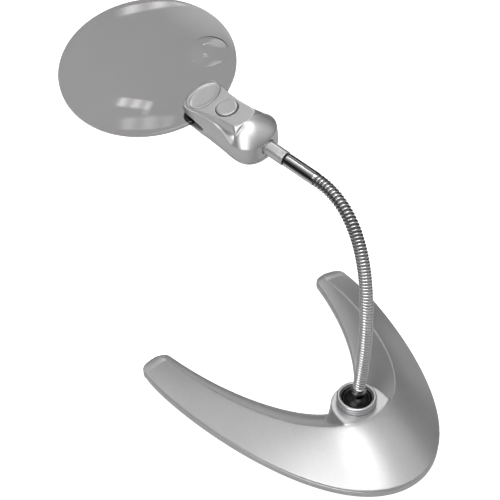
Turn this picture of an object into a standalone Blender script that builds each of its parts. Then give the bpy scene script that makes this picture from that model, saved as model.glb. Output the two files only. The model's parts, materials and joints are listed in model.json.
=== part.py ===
"""Low vision magnifier: a rimless round lens with a light head, on a gooseneck
that stands in a crescent-shaped weighted base.

Frame: origin on the table under the stem's ball joint, +Z up, the crescent's
apex towards -Y and its open side towards +Y.  The head reaches towards +Y.
Dimensions are in millimetres and are turned into metres when a mesh is made.
"""
import bisect
import math

import bmesh
import bpy
from mathutils import Vector

for old_object in list(bpy.data.objects):
    bpy.data.objects.remove(old_object, do_unlink=True)
for old_mesh in list(bpy.data.meshes):
    bpy.data.meshes.remove(old_mesh)

# ------------------------------------------------------- driving dimensions
MM = 0.001
GAP = 0.3                       # running gap between pieces
SHARP_ANGLE = math.radians(35)  # edges steeper than this are shaded sharp

# Ball joint, heights above the table
BALL_R, BALL_Z = 10.6, 24.2
LEDGE_Z = 27.0                  # flat ledge of the base that carries the collar

# Gooseneck; ferrule distances are from the ball's centre
FERRULE_START, FERRULE_END = 10.2, 17.4
NECK_START = FERRULE_START + 1.5
NECK_R, NECK_BORE = 3.8, 2.2
NECK_SECTIONS = 8
NECK_LEAN = math.radians(4.7)   # at the root, away from the head
ROOT_PULL, TOP_PULL = 88.7, 35.5  # handle lengths of the neck's curve
NECK_SAMPLES = 400              # steps of the arc-length table
TOP_FERRULE_L = 22.9

# Head: roll joint, lens centre and lens normal in the world
ROLL_JOINT = Vector((-11.79, 60.52, 179.65))
LENS_CENTRE = Vector((-34.91, 168.07, 193.30))
LENS_NORMAL = Vector((-0.2207, -0.1694, 0.9605))
PLATE_H, PLATE_RISE = 8.5, 0.155  # flat top: height at the oval, rise towards the joint
BUTTON_V, OVAL_V = 44.1, 62.0
SEAM_H, BOTTOM_H = -5.6, -8.2
DOOR_V = 45.0                   # lens-side edge of the battery door

# ------------------------------------------------------------------- frames
# Head frame: origin at the roll joint, u across, v towards the lens, h along its normal.
HEAD_H = LENS_NORMAL.normalized()
to_lens = LENS_CENTRE - ROLL_JOINT
to_lens = to_lens - HEAD_H * to_lens.dot(HEAD_H)
LENS_V = to_lens.length
HEAD_V = to_lens.normalized()
HEAD_U = HEAD_V.cross(HEAD_H).normalized()

# Frame of the sloping flat top: origin on the head's centre line at the oval.
PLATE_NORMAL = (HEAD_H + HEAD_V * PLATE_RISE).normalized()
PLATE_ALONG = (HEAD_V - HEAD_H * PLATE_RISE).normalized()
BUTTON_S = (BUTTON_V - OVAL_V) * math.sqrt(1 + PLATE_RISE ** 2)

# The neck stands in the upright plane through the roll joint.
WORLD_AXES = (Vector((1, 0, 0)), Vector((0, 1, 0)), Vector((0, 0, 1)))
heading = math.atan2(-ROLL_JOINT.x, ROLL_JOINT.y)
NECK_FORWARD = Vector((-math.sin(heading), math.cos(heading), 0.0))
NECK_SIDE = Vector((math.cos(heading), math.sin(heading), 0.0))
STEM_AXIS = WORLD_AXES[2] * math.cos(NECK_LEAN) - NECK_FORWARD * math.sin(NECK_LEAN)
STEM_AXIS = STEM_AXIS.normalized()
BALL = Vector((0, 0, BALL_Z))


def head_pt(u, v, h):
    return ROLL_JOINT + HEAD_U * u + HEAD_V * v + HEAD_H * h


def plate_pt(u, s, z):
    return head_pt(0, OVAL_V, PLATE_H) + HEAD_U * u + PLATE_ALONG * s + PLATE_NORMAL * z


def bezier(points, t):
    """Point at t on a cubic Bezier curve in any number of dimensions."""
    m = 1 - t
    weights = (m ** 3, 3 * m * m * t, 3 * m * t * t, t ** 3)
    return Vector([sum(w * c for w, c in zip(weights, coords)) for coords in zip(*points)])


# Neck centre line and its arc-length table
neck_root = BALL + STEM_AXIS * NECK_START
neck_end = ROLL_JOINT - HEAD_V * TOP_FERRULE_L
NECK_CURVE = (neck_root, neck_root + STEM_AXIS * ROOT_PULL,
              neck_end - HEAD_V * TOP_PULL, neck_end)
NECK_POINTS = [bezier(NECK_CURVE, i / NECK_SAMPLES) for i in range(NECK_SAMPLES + 1)]
NECK_LENGTHS = [0.0]
for start, end in zip(NECK_POINTS, NECK_POINTS[1:]):
    NECK_LENGTHS.append(NECK_LENGTHS[-1] + (end - start).length)

# Arc lengths where the coil is divided into sections
coil_start = FERRULE_END + GAP - NECK_START
section_length = (NECK_LENGTHS[-1] - GAP - coil_start) / NECK_SECTIONS
NECK_CUTS = [coil_start + section_length * i for i in range(NECK_SECTIONS + 1)]


def neck_at(s):
    """Point, side and in-plane normal of the neck at arc length s, clear of its ends."""
    i = bisect.bisect_right(NECK_LENGTHS, s) - 1
    part = (s - NECK_LENGTHS[i]) / (NECK_LENGTHS[i + 1] - NECK_LENGTHS[i])
    t = (i + part) / NECK_SAMPLES
    step = 1e-3
    tangent = (bezier(NECK_CURVE, t + step) - bezier(NECK_CURVE, t - step)).normalized()
    side = (NECK_SIDE - tangent * NECK_SIDE.dot(tangent)).normalized()
    point = NECK_POINTS[i].lerp(NECK_POINTS[i + 1], part)
    return point, side, side.cross(tangent).normalized()


# ---------------------------------------------------------------- materials
def make_material(name, color, roughness, metallic=0.0, alpha=1.0):
    mat = bpy.data.materials.new(name)
    mat.use_nodes = True
    inputs = mat.node_tree.nodes["Principled BSDF"].inputs
    inputs["Base Color"].default_value = (*color, 1.0)
    inputs["Roughness"].default_value = roughness
    inputs["Metallic"].default_value = metallic
    inputs["Alpha"].default_value = alpha
    mat.diffuse_color = (*color, alpha)
    return mat


SILVER = make_material("silver_paint", color=(0.62, 0.62, 0.63), roughness=0.32, metallic=0.55)
PLASTIC = make_material("silver_plastic", color=(0.55, 0.55, 0.56), roughness=0.38, metallic=0.45)
CHROME = make_material("chrome", color=(0.80, 0.80, 0.82), roughness=0.08, metallic=1.0)
SATIN = make_material("satin_metal", color=(0.66, 0.66, 0.67), roughness=0.25, metallic=1.0)
STEEL = make_material("ballast_steel", color=(0.30, 0.30, 0.32), roughness=0.5, metallic=1.0)
BLACK = make_material("black_plastic", color=(0.01, 0.01, 0.011), roughness=0.2)
RUBBER = make_material("foot_rubber", color=(0.03, 0.03, 0.03), roughness=0.8)
ACRYLIC = make_material("lens_acrylic", color=(0.85, 0.87, 0.88), roughness=0.02, alpha=0.35)
BOARD = make_material("circuit_board", color=(0.03, 0.18, 0.07), roughness=0.5)
BRASS = make_material("contact_brass", color=(0.75, 0.60, 0.30), roughness=0.3, metallic=1.0)
CELL_STEEL = make_material("cell_steel", color=(0.70, 0.70, 0.72), roughness=0.25, metallic=1.0)
LED_EPOXY = make_material("led_epoxy", color=(0.90, 0.92, 0.80), roughness=0.1)


# ------------------------------------------------------------------- joints
ORIGINS = {}                    # world origin of each axis empty, in metres


def make_joint(name, position, parent=None):
    """An empty on the joint's axis; the pieces that move with it hang on it."""
    empty = bpy.data.objects.new("axis_" + name, None)
    empty.empty_display_size = 0.01
    bpy.context.scene.collection.objects.link(empty)
    origin = Vector(position) * MM
    empty.location = origin
    if parent:
        empty.parent = parent
        empty.location = origin - ORIGINS[parent.name]
    ORIGINS[empty.name] = origin
    return empty


BASE = make_joint("base", (0, 0, 0))
SWIVEL = make_joint("ball_swivel", BALL, BASE)
STEM = make_joint("stem", BALL, SWIVEL)
NECK_JOINTS = [STEM]
for number in range(2, NECK_SECTIONS + 1):
    joint_name = "neck_top" if number == NECK_SECTIONS else f"neck_{number}"
    joint_point = neck_at(NECK_CUTS[number - 1])[0]
    NECK_JOINTS.append(make_joint(joint_name, joint_point, NECK_JOINTS[-1]))
NECK_TOP = NECK_JOINTS[-1]
HEAD = make_joint("head", ROLL_JOINT, NECK_TOP)
BUTTON = make_joint("power_button", plate_pt(0, BUTTON_S, 0), HEAD)
DOOR = make_joint("battery_door", head_pt(0, DOOR_V, BOTTOM_H), HEAD)


# ----------------------------------------------------- pieces and booleans
def shade(mesh):
    mesh.shade_smooth()
    mesh.set_sharp_from_angle(angle=SHARP_ANGLE)


def piece(name, shape, mat, joint):
    """One closed piece from a (vertices, faces) shape in millimetres."""
    verts, faces = shape
    origin = ORIGINS[joint.name]
    mesh = bpy.data.meshes.new(name)
    mesh.from_pydata([tuple(Vector(v) * MM - origin) for v in verts], [], faces)
    bm = bmesh.new()
    bm.from_mesh(mesh)
    bmesh.ops.remove_doubles(bm, verts=bm.verts, dist=1e-6)
    bmesh.ops.recalc_face_normals(bm, faces=bm.faces)
    bm.to_mesh(mesh)
    bm.free()
    shade(mesh)
    mesh.materials.append(mat)
    obj = bpy.data.objects.new(name, mesh)
    bpy.context.scene.collection.objects.link(obj)
    obj.parent = joint
    return obj


def boolean(obj, shape, operation):
    """Combine obj with a shape by the EXACT solver and keep the result as its mesh."""
    tool = piece("tool", shape, BLACK, obj.parent)
    modifier = obj.modifiers.new("boolean", "BOOLEAN")
    modifier.operation = operation
    modifier.solver = "EXACT"
    modifier.object = tool
    bpy.context.view_layer.update()
    depsgraph = bpy.context.evaluated_depsgraph_get()
    mesh = bpy.data.meshes.new_from_object(obj.evaluated_get(depsgraph))
    obj.modifiers.clear()
    old = obj.data
    mat = old.materials[0]
    obj.data = mesh
    mesh.name = obj.name
    bpy.data.meshes.remove(old)
    bpy.data.objects.remove(tool, do_unlink=True)
    bm = bmesh.new()
    bm.from_mesh(mesh)
    bmesh.ops.dissolve_degenerate(bm, edges=bm.edges, dist=2e-7)
    bmesh.ops.remove_doubles(bm, verts=bm.verts, dist=5e-7)
    bm.to_mesh(mesh)
    bm.free()
    mesh.materials.clear()
    mesh.materials.append(mat)
    shade(mesh)


def cut(obj, shape):
    boolean(obj, shape, "DIFFERENCE")


def join(obj, shape):
    boolean(obj, shape, "UNION")


# ------------------------------------------------------------------- shapes
def loft(rings, loop=False):
    """Skin over equal-length polygons, capped, or joined end to end as a loop."""
    size, count = len(rings[0]), len(rings)
    verts = [p for ring in rings for p in ring]
    faces = []
    for i in range(count if loop else count - 1):
        this, following = i * size, (i + 1) % count * size
        for j in range(size):
            k = (j + 1) % size
            faces.append((this + j, this + k, following + k, following + j))
    if not loop:
        faces.append(tuple(range(size - 1, -1, -1)))
        faces.append(tuple(range((count - 1) * size, count * size)))
    return verts, faces


def lathe(profile, segments, origin, axes):
    """Turned body about the third axis: profile is a closed list of (radius, height)."""
    axis_x, axis_y, axis_z = axes
    verts, rows = [], []
    for radius, z in profile:
        if radius < 1e-6:
            rows.append([len(verts)] * segments)
            verts.append(origin + axis_z * z)
            continue
        rows.append(list(range(len(verts), len(verts) + segments)))
        for k in range(segments):
            t = 2 * math.pi * k / segments
            x, y = radius * math.cos(t), radius * math.sin(t)
            verts.append(origin + axis_x * x + axis_y * y + axis_z * z)
    faces = []
    for row, following in zip(rows, rows[1:] + rows[:1]):
        for j in range(segments):
            k = (j + 1) % segments
            # repeated corners on the axis are dropped
            corners = tuple(dict.fromkeys((row[j], row[k], following[k], following[j])))
            if len(corners) > 2:
                faces.append(corners)
    return verts, faces


def upright_lathe(profile, segments, x=0, y=0):
    return lathe(profile, segments, Vector((x, y, 0)), WORLD_AXES)


def stem_lathe(profile, segments):
    """Turned about the stem, heights from the ball's centre."""
    return lathe(profile, segments, BALL, (NECK_SIDE, STEM_AXIS.cross(NECK_SIDE), STEM_AXIS))


def head_lathe(profile, segments, u, v):
    """Turned about an axis square to the lens, at (u, v)."""
    return lathe(profile, segments, head_pt(u, v, 0), (HEAD_U, HEAD_V, HEAD_H))


def button_lathe(profile, segments):
    """Turned about the button's axis, square to the sloping flat top."""
    axes = (HEAD_U, PLATE_ALONG, PLATE_NORMAL)
    return lathe(profile, segments, plate_pt(0, BUTTON_S, 0), axes)


def axial_lathe(profile, segments):
    """Turned about the head's long axis, heights along v."""
    return lathe(profile, segments, ROLL_JOINT, (HEAD_H, HEAD_U, HEAD_V))


def tube(bore, radius, z0, z1):
    return [(bore, z0), (radius, z0), (radius, z1), (bore, z1)]


def rod(radius, z0, z1):
    return tube(0, radius, z0, z1)


def stepped_rod(head_r, shank_r, start, step, end):
    """Wide from start to step, narrow from step to end."""
    return [(0, start), (head_r, start), (head_r, step), (shank_r, step), (shank_r, end), (0, end)]


def box(u_span, v_span, h_span):
    """Block in the head frame; each span is (low, high)."""
    (u0, u1), (v0, v1) = u_span, v_span
    corners = ((u0, v0), (u1, v0), (u1, v1), (u0, v1))
    return loft([[head_pt(u, v, h) for u, v in corners] for h in h_span])


# --------------------------------------------------------------- base plan
# Half plan curves on the +X side: cubic Bezier control points (x, y)
OUTER = ((0.0, -55.6), (64.95, -55.6), (86.2, 86.1), (82.4, 111.5))
INNER = ((0.0, 14.7), (17.5, 14.7), (48.0, 52.9), (60.1, 115.2))
CREST = ((0.0, -15.2), (46.5, -15.2), (64.2, 71.0), (65.8, 112.6))
CREST_Z = (29.3, 19.45, 8.9)    # height of the crest, quadratic Bezier
TIP_REACH, TIP_POWER = 7.6, 2.6  # rounding of the arm tips
TIP_DROP_POWER = 2.2
FOOT_H = 0.9
TRAY_TOP = 5.2
COVER_Z = TRAY_TOP + GAP
OUTER_LIP, INNER_LIP = 1.2, 0.5  # upright lips at the foot of the cover
CROWN_POWER, HOLLOW_POWER = 1.18, 1.55
WALL = 2.3
CUT_Z = 3.0                     # cuts into the cover start below its foot

# Stations along one half: 0..1 is the arm, 1..2 the rounded tip
HALF_STATIONS = (0.05, 0.1, 0.16, 0.24, 0.33, 0.43, 0.54, 0.66, 0.79, 0.92, 1.0,
                 1.35, 1.65, 1.88, 1.985)
STATIONS = [(-1, k) for k in reversed(HALF_STATIONS)] + [(1, 0.0)]
STATIONS += [(1, k) for k in HALF_STATIONS]
CAVITY_END, POCKET_END, WEIGHT_END = 0.92, 0.66, 0.54


def station(k):
    """Outer, crest and inner plan points, and crest height, at station k."""
    t = min(k, 1.0)
    m = 1 - t
    outer, crest, inner = bezier(OUTER, t), bezier(CREST, t), bezier(INNER, t)
    top = min(CREST_Z[0] * m * m + 2 * CREST_Z[1] * m * t + CREST_Z[2] * t * t, LEDGE_Z)
    if k > 1.0:
        q = k - 1.0
        middle, half = (outer + inner) / 2, (outer - inner) / 2
        onward = Vector((-half.y, half.x)).normalized()
        if onward.y < 0:
            onward = -onward
        crest_share = (crest - inner).length / (outer - inner).length
        width = (1 - q ** TIP_POWER) ** (1 / TIP_POWER)
        outer = middle + half * width + onward * (TIP_REACH * q)
        inner = middle - half * width + onward * (TIP_REACH * q)
        crest = inner.lerp(outer, crest_share)
        rim = COVER_Z + OUTER_LIP
        top = rim + (top - rim) * (1 - q ** TIP_DROP_POWER)
    return outer, crest, inner, top


def crown_z(s, top):
    """Outer slope, s from the rim (0) to the crest (1): slightly crowned."""
    rim = COVER_Z + OUTER_LIP
    return rim + (top - rim) * (1 - (1 - s) ** CROWN_POWER)


def hollow_z(s, top):
    """Inner slope, s from the crest (0) to the rim (1): hollowed."""
    rim = COVER_Z + INNER_LIP
    return rim + (top - rim) * (1 - s) ** HOLLOW_POWER


def base_loft(section, last=2.0):
    """Loft a section function along both arms, up to station `last`."""
    rings = []
    for side, k in STATIONS:
        if k <= last:
            rings.append([(side * x, y, z) for x, y, z in section(*station(k))])
    return loft(rings)


def cover_section(outer, crest, inner, top):
    points = [(*outer, COVER_Z)]
    for s in (0.0, 0.15, 0.42, 0.7, 1.0):
        points.append((*outer.lerp(crest, s), crown_z(s, top)))
    for s in (0.16, 0.36, 0.62, 1.0):
        points.append((*crest.lerp(inner, s), hollow_z(s, top)))
    return points + [(*inner, COVER_Z)]


def cavity_section(outer, crest, inner, top):
    """Space under the cover for the ballast."""
    floor = COVER_Z - 0.15
    slope = crest - outer
    inward = slope.normalized()
    first = 0.14                # share of the outer slope, at least one wall thick
    edge = outer + inward * max(WALL, slope.length * first)
    points = [(*(outer + inward * WALL), CUT_Z)]
    points.append((*edge, max(floor, crown_z(first, top) - WALL * 1.15)))
    for s in (0.42, 0.7, 1.0):
        points.append((*outer.lerp(crest, s), max(floor, crown_z(s, top) - WALL * 1.15)))
    for s in (0.28, 0.48):
        points.append((*crest.lerp(inner, s), max(floor, hollow_z(s, top) - WALL * 1.2)))
    return points + [(*crest.lerp(inner, 0.5), CUT_Z)]


def tray_section(outer, crest, inner, top):
    """Band with eased lower edges, standing a hair inside the cover."""
    inset, ease = 0.25, 0.4

    def edge(rim, inward):
        side, foot = rim + inward * inset, rim + inward * (inset + ease)
        return [(*foot, FOOT_H), (*side, FOOT_H + ease), (*side, TRAY_TOP)]

    across = (inner - outer).normalized()
    return edge(outer, across) + edge(inner, -across)[::-1]


def weight_section(grow, z0, z1):
    """Section function of the ballast, or of its pocket when grown."""
    def section(outer, crest, inner, top):
        a, b = outer.lerp(crest, 0.42), outer.lerp(crest, 0.94)
        across = (b - a).normalized()
        a, b = a - across * grow, b + across * grow
        return [(*a, z0), (*a, z1), (*b, z1), (*b, z0)]
    return section


# -------------------------------------------------------------- base pieces
BOSS_HALF, BOSS_BACK = 17.6, 14.6   # half width and +Y end of the collar boss
COLLAR_BORE_R = 12.13
# Cover screws on each arm: (station, share of the way from outer curve to crest)
BASE_SCREW_STATIONS = ((0.2, 0.24), (0.86, 0.42))
FOOT_TOP = 1.4
# name, x, y, radius
FEET = (
    ("foot_stem", 0, 0, 6.5),
    ("foot_front", 0, -44, 5.5),
    ("foot_left", -71.2, 107.5, 5.0),
    ("foot_right", 71.2, 107.5, 5.0),
)


def base_screws():
    """(x, y, height of the cover above) of each screw."""
    screws = []
    for side in (-1, 1):
        for k, s in BASE_SCREW_STATIONS:
            outer, crest, _, top = station(k)
            point = outer.lerp(crest, s)
            screws.append((side * point.x, point.y, crown_z(s, top)))
    return screws


BASE_SCREWS = base_screws()


def boss_ring(half, back, inset, z, arc_steps=12):
    """U-shaped ring: the -Y edge follows the crest, straight sides, round +Y end."""
    front = []
    for k in range(10):
        crest = bezier(CREST, k * 0.024)
        if crest.x >= half:
            break
        front.append((crest.x, crest.y + inset))
    front.append((half, crest.y + inset) if k == 0 else (half, boss_corner_y(half) + inset))
    outline = [(-x, y) for x, y in reversed(front[1:])] + front
    for k in range(arc_steps + 1):
        t = math.pi * k / arc_steps
        outline.append((half * math.cos(t), back - half + half * math.sin(t)))
    return [(x, y, z) for x, y in outline]


def boss_corner_y(half):
    """y of the crest where a fine walk along it first reaches x = half."""
    k = 0
    while bezier(CREST, k * 0.004).x < half:
        k += 1
    return bezier(CREST, k * 0.004).y


def make_cover():
    cover = piece("base_cover", base_loft(cover_section), SILVER, BASE)
    cut(cover, base_loft(cavity_section, CAVITY_END))
    join(cover, loft([
        boss_ring(BOSS_HALF + 0.7, BOSS_BACK + 0.6, inset=1.5, z=COVER_Z - 0.07),
        boss_ring(BOSS_HALF, BOSS_BACK, inset=0.25, z=LEDGE_Z),
    ]))
    cut(cover, upright_lathe(rod(11.4, CUT_Z, 8.0), 26, y=0.4))
    cut(cover, upright_lathe(rod(COLLAR_BORE_R, 10.23, 30.0), 30))
    # posts for the screws that come up through the tray
    for x, y, top in BASE_SCREWS:
        join(cover, upright_lathe(rod(2.7, COVER_Z + 0.01, top - 2.9), 12, x, y))
    for x, y, top in BASE_SCREWS:
        cut(cover, upright_lathe(rod(1.4, CUT_Z, top - 3.4), 8, x, y))


def make_tray_and_weight():
    tray = piece("base_plate", base_loft(tray_section), SILVER, BASE)
    cut(tray, base_loft(weight_section(0.4, 2.7, 8.0), POCKET_END))
    piece("base_weight", base_loft(weight_section(0.0, 3.0, 8.2), WEIGHT_END), STEEL, BASE)
    hole = stepped_rod(head_r=3.2, shank_r=1.5, start=-1, step=2.6, end=8)
    for x, y, _ in BASE_SCREWS:
        cut(tray, upright_lathe(hole, 14, x, y))
    for _, x, y, radius in FEET:
        cut(tray, upright_lathe(rod(radius + GAP, -1, FOOT_TOP + GAP), 20, x, y))


def make_base_screws():
    for number, (x, y, top) in enumerate(BASE_SCREWS, 1):
        tip = top - 3.8
        profile = [(0, 1.0), (2.5, 1.0), (2.8, 1.3), (2.8, 2.3), (1.1, 2.3), (1.0, tip), (0, tip)]
        piece(f"base_screw_{number}", upright_lathe(profile, 10, x, y), SATIN, BASE)


def make_feet():
    ease = 0.3
    for name, x, y, radius in FEET:
        profile = [(0, 0), (radius - ease, 0), (radius, ease), (radius, FOOT_TOP), (0, FOOT_TOP)]
        piece(name, upright_lathe(profile, 20, x, y), RUBBER, BASE)


# --------------------------------------------------------------- ball joint
RING_R, RING_TOP, RING_HOLE = 12.4, 32.2, 9.3
SKIRT_R, SKIRT_BORE, SKIRT_Z = 11.8, 11.0, 21.2


def socket_point(clearance, z):
    """(radius, height) on a sphere that clears the ball."""
    return math.sqrt((BALL_R + clearance) ** 2 - (z - BALL_Z) ** 2), z


def make_collar():
    """Rounded rim, spherical seat inside, skirt that screws into the cover."""
    foot = LEDGE_Z + GAP
    profile = [
        (RING_R, foot), (RING_R, RING_TOP - 1.2), (11.6, RING_TOP), (10.1, RING_TOP),
        (RING_HOLE, RING_TOP - 0.8), (RING_HOLE, 30.1),
        socket_point(0.4, 28.6), socket_point(0.4, 26.6),
        (SKIRT_BORE, BALL_Z), (SKIRT_BORE, SKIRT_Z), (SKIRT_R, SKIRT_Z), (SKIRT_R, foot),
    ]
    piece("collar_ring", upright_lathe(profile, 28), SATIN, BASE)


def make_seat():
    """Friction washer, and above it the seat, which turns with the ball."""
    piece("friction_washer", upright_lathe(tube(5.0, 10.6, 10.5, 11.5), 18), STEEL, BASE)
    seat = [(4.0, 11.8), (11.5, 11.8), (11.5, 20.8)]
    seat += [socket_point(0.35, 20.6 - k * 2.1) for k in range(4)]
    seat.append((4.0, 14.0))
    piece("ball_seat", upright_lathe(seat, 22), BLACK, SWIVEL)


def make_stem():
    """Ball with a flat top and a bore, the stud in it and the ferrule above."""
    flat, bore, bore_end = 9.8, 2.7, -6.0
    ball = [(0, -BALL_R)]
    for k in range(1, 8):
        t = math.radians(180 - 20 * k)
        ball.append((BALL_R * math.sin(t), BALL_R * math.cos(t)))
    ball += [(math.sqrt(BALL_R ** 2 - flat ** 2), flat), (bore, flat), (bore, bore_end),
             (0, bore_end)]
    piece("pivot_ball", stem_lathe(ball, 22), BLACK, STEM)

    stud = [(0, -5.6), (2.0, -5.6), (2.3, -5.2), (2.3, 15.2), (2.0, 15.6), (0, 15.6)]
    piece("stem_stud", stem_lathe(stud, 14), STEEL, STEM)

    radius, end_radius = 4.6, 4.2
    ferrule = [
        (bore, FERRULE_START), (end_radius, FERRULE_START), (radius, FERRULE_START + 0.5),
        (radius, FERRULE_END - 0.6), (end_radius, FERRULE_END), (bore, FERRULE_END),
    ]
    piece("lower_ferrule", stem_lathe(ferrule, 16), CHROME, STEM)


# --------------------------------------------------------------- gooseneck
SLEEVE_R = 4.4


def neck_ring(s, radius, segments=12):
    point, side, normal = neck_at(s)
    angles = [2 * math.pi * k / segments for k in range(segments)]
    return [point + side * (radius * math.cos(t)) + normal * (radius * math.sin(t))
            for t in angles]


def neck_tube(s0, s1, steps=2):
    """Hollow length of gooseneck with relieved ends, so that neighbours can bend."""
    rings = []
    # up the outside, then back down the bore
    for radius, start, end, way in ((NECK_R, s0, s1, 1), (NECK_BORE, s1, s0, -1)):
        setback = way * (0.15 + 0.17 * radius)
        start, end = start + setback, end - setback
        for i in range(steps + 1):
            rings.append(neck_ring(start + (end - start) * i / steps, radius))
    return loft(rings, loop=True)


def make_neck():
    for i, joint in enumerate(NECK_JOINTS):
        shape = neck_tube(NECK_CUTS[i], NECK_CUTS[i + 1])
        piece(f"neck_section_{i + 1}", shape, CHROME, joint)


def make_roll_joint():
    """Ferrule, spindle, washer and clip at the neck's end; sleeve of the head."""
    start, radius = -TOP_FERRULE_L, 4.05
    ferrule = [(2.9, start), (3.6, start), (radius, start + 0.9), (radius, -1.5),
               (3.7, -1.2), (2.9, -1.2)]
    spindle = [(0, -17), (2.6, -17), (2.6, 15.0), (2.2, 15.0), (2.2, 16.2), (2.6, 16.2),
               (2.6, 17.0), (0, 17.0)]
    sleeve = [(2.95, 0.0), (4.1, 0.0), (SLEEVE_R, 0.4), (SLEEVE_R, 20.3), (3.7, 20.3),
              (3.7, 15.0), (2.95, 15.0)]
    washer = tube(2.9, 3.75, -0.9, -0.3)
    clip = tube(2.5, 3.4, 15.3, 15.9)
    piece("upper_ferrule", axial_lathe(ferrule, 16), CHROME, NECK_TOP)
    piece("roll_spindle", axial_lathe(spindle, 12), STEEL, NECK_TOP)
    piece("roll_washer", axial_lathe(washer, 14), BLACK, NECK_TOP)
    piece("roll_clip", axial_lathe(clip, 12), STEEL, NECK_TOP)
    piece("neck_sleeve", axial_lathe(sleeve, 16), PLASTIC, HEAD)


# ------------------------------------------------------------ head outline
REAR_V, FRONT_V = 13.2, 71.2    # ends of the housing; rear is the joint end
REAR_ROUND_V, FRONT_ROUND_V = 26, 61
REAR_HALF, FRONT_HALF = 15.4, 15.2
PLATE_REAR, PLATE_REAR_ROUND, PLATE_FRONT_ROUND = 27.3, 34.5, 62.0
PLATE_REAR_HALF = 8.4
REAR_H = 5.6                    # top height at the rear end
DOME_START = 0.85               # angle where the dome's arc starts
ROOF_STEPS = 6
HEAD_STATIONS = (13.35, 14.4, 16.4, 19.6, 23.2, 26.4, 27.5, 28.5, 30.0, 31.8, 33.6, 37.0,
                 41.0, 47.0, 54.0, 61.0, 65.0, 68.4, 70.2, 71.0)
# Upper edge of the side wall: (v, height)
WALL_HEIGHT = (
    (13, 5.5), (20, 5.6), (26, 5.2), (29, 4.7), (34, 5.1), (39, 5.7), (46, 6.8), (54, 7.0),
    (60, 7.2), (64, 7.3), (72, 6.6),
)
# The same edge: (v, share of the housing's half width)
WALL_SHARE = (
    (13, 0.975), (24, 0.975), (29, 0.955), (34, 0.885), (39, 0.80), (46, 0.76), (54, 0.745),
    (60, 0.80), (64, 0.85), (72, 0.9),
)


def smooth(a, b, x):
    x = min(max((x - a) / (b - a), 0), 1)
    return x * x * (3 - 2 * x)


def interpolate(rows, v):
    """Cubic through (v, value) rows, level at peaks; v lies within the rows."""
    slopes = [(b[1] - a[1]) / (b[0] - a[0]) for a, b in zip(rows, rows[1:])]
    tangents = [slopes[0]]
    for a, b in zip(slopes, slopes[1:]):
        tangents.append(0.0 if a * b <= 0 else 2 * a * b / (a + b))
    tangents.append(slopes[-1])
    i = next(i for i in range(len(slopes)) if v <= rows[i + 1][0])
    (v0, a), (v1, b) = rows[i], rows[i + 1]
    span = v1 - v0
    t = (v - v0) / span
    bend = tangents[i] * t * (1 - t) ** 2 - tangents[i + 1] * t * t * (1 - t)
    return a * (1 + 2 * t) * (1 - t) ** 2 + b * t * t * (3 - 2 * t) + span * bend


def end_curve(v, full, v0, v1, power):
    """Superellipse end: full at v0, zero at v1."""
    return full * max(1 - ((v - v0) / (v1 - v0)) ** power, 0) ** (1 / power)


def half_width(v):
    """Widest half-width of the housing, at the lens level."""
    if v < REAR_ROUND_V:
        return end_curve(v, REAR_HALF, REAR_ROUND_V, REAR_V, power=2.4)
    if v > FRONT_ROUND_V:
        return end_curve(v, FRONT_HALF, FRONT_ROUND_V, FRONT_V, power=3.2)
    return REAR_HALF - 1.2 * smooth(26, 42, v) + 1.0 * smooth(46, 58, v)


def low_half(v):
    """Half-width at the bottom edge, tucked in under the lens end."""
    return half_width(v) * (1 - 0.015 - 0.14 * smooth(40, 64, v))


def plate_half(v):
    """Half-width of the flat top."""
    if v <= PLATE_REAR:
        return 0.0
    if v < PLATE_REAR_ROUND:
        return end_curve(v, PLATE_REAR_HALF, PLATE_REAR_ROUND, PLATE_REAR, power=2.2)
    flare = max((min(v, PLATE_FRONT_ROUND) - 40) / 26, 0) ** 1.45
    width = PLATE_REAR_HALF + 4.3 * flare
    if v <= PLATE_FRONT_ROUND:
        return width
    return end_curve(v, width, PLATE_FRONT_ROUND, FRONT_V, power=2.2)


def plate_height(v):
    return PLATE_H + PLATE_RISE * (OVAL_V - v)


def top_height(v):
    if v >= PLATE_REAR:
        return plate_height(v)
    q = (PLATE_REAR - v) / (PLATE_REAR - REAR_V)
    return REAR_H + (plate_height(PLATE_REAR) - REAR_H) * max(1 - q ** 1.5, 0) ** 0.9


def head_section(v):
    """Upper shell's ring, low -u to low +u; scoop beside the plate, dome behind it."""
    wide, low, plate, top = half_width(v), low_half(v), plate_half(v), top_height(v)
    wall_u, wall_h = wide * interpolate(WALL_SHARE, v), interpolate(WALL_HEIGHT, v)
    wide_h = -1.4
    half = [
        (low + (wide - low) * 0.3, SEAM_H),
        (low + (wide - low) * 0.75, -3.6),
        (wide, wide_h),
        (wide + (wall_u - wide) * 0.45, wide_h + (wall_h - wide_h) * 0.55),
        (wall_u, wall_h),
    ]
    power = 1.0 + 0.12 * min(plate / PLATE_REAR_HALF, 1)
    run, rise = wall_u - plate, top - wall_h
    sin0, cos0 = math.sin(DOME_START), math.cos(DOME_START)
    for k in range(1, ROOF_STEPS):
        x = k / ROOF_STEPS
        t = x * math.pi / 2
        arc = DOME_START + (math.pi / 2 - DOME_START) * x
        dome_u = plate + run * (math.cos(arc) / cos0) ** power
        dome_h = wall_h + rise * ((math.sin(arc) - sin0) / (1 - sin0)) ** power
        scoop_u = plate + run * (1 - math.sin(t)) ** 1.15
        scoop_h = wall_h + rise * (1 - math.cos(t)) ** 0.9
        # the dome gives way to the scoop later, the nearer the centre line
        edge = 26.4 + 6.2 * x
        blend = smooth(edge - 0.9, edge + 0.9, v)
        half.append((dome_u + (scoop_u - dome_u) * blend, dome_h + (scoop_h - dome_h) * blend))
    half.append((max(plate, 0.12), top))
    outline = [(-u, h) for u, h in half] + [(u, h) for u, h in reversed(half)]
    return [head_pt(u, v, h) for u, h in outline]


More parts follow.
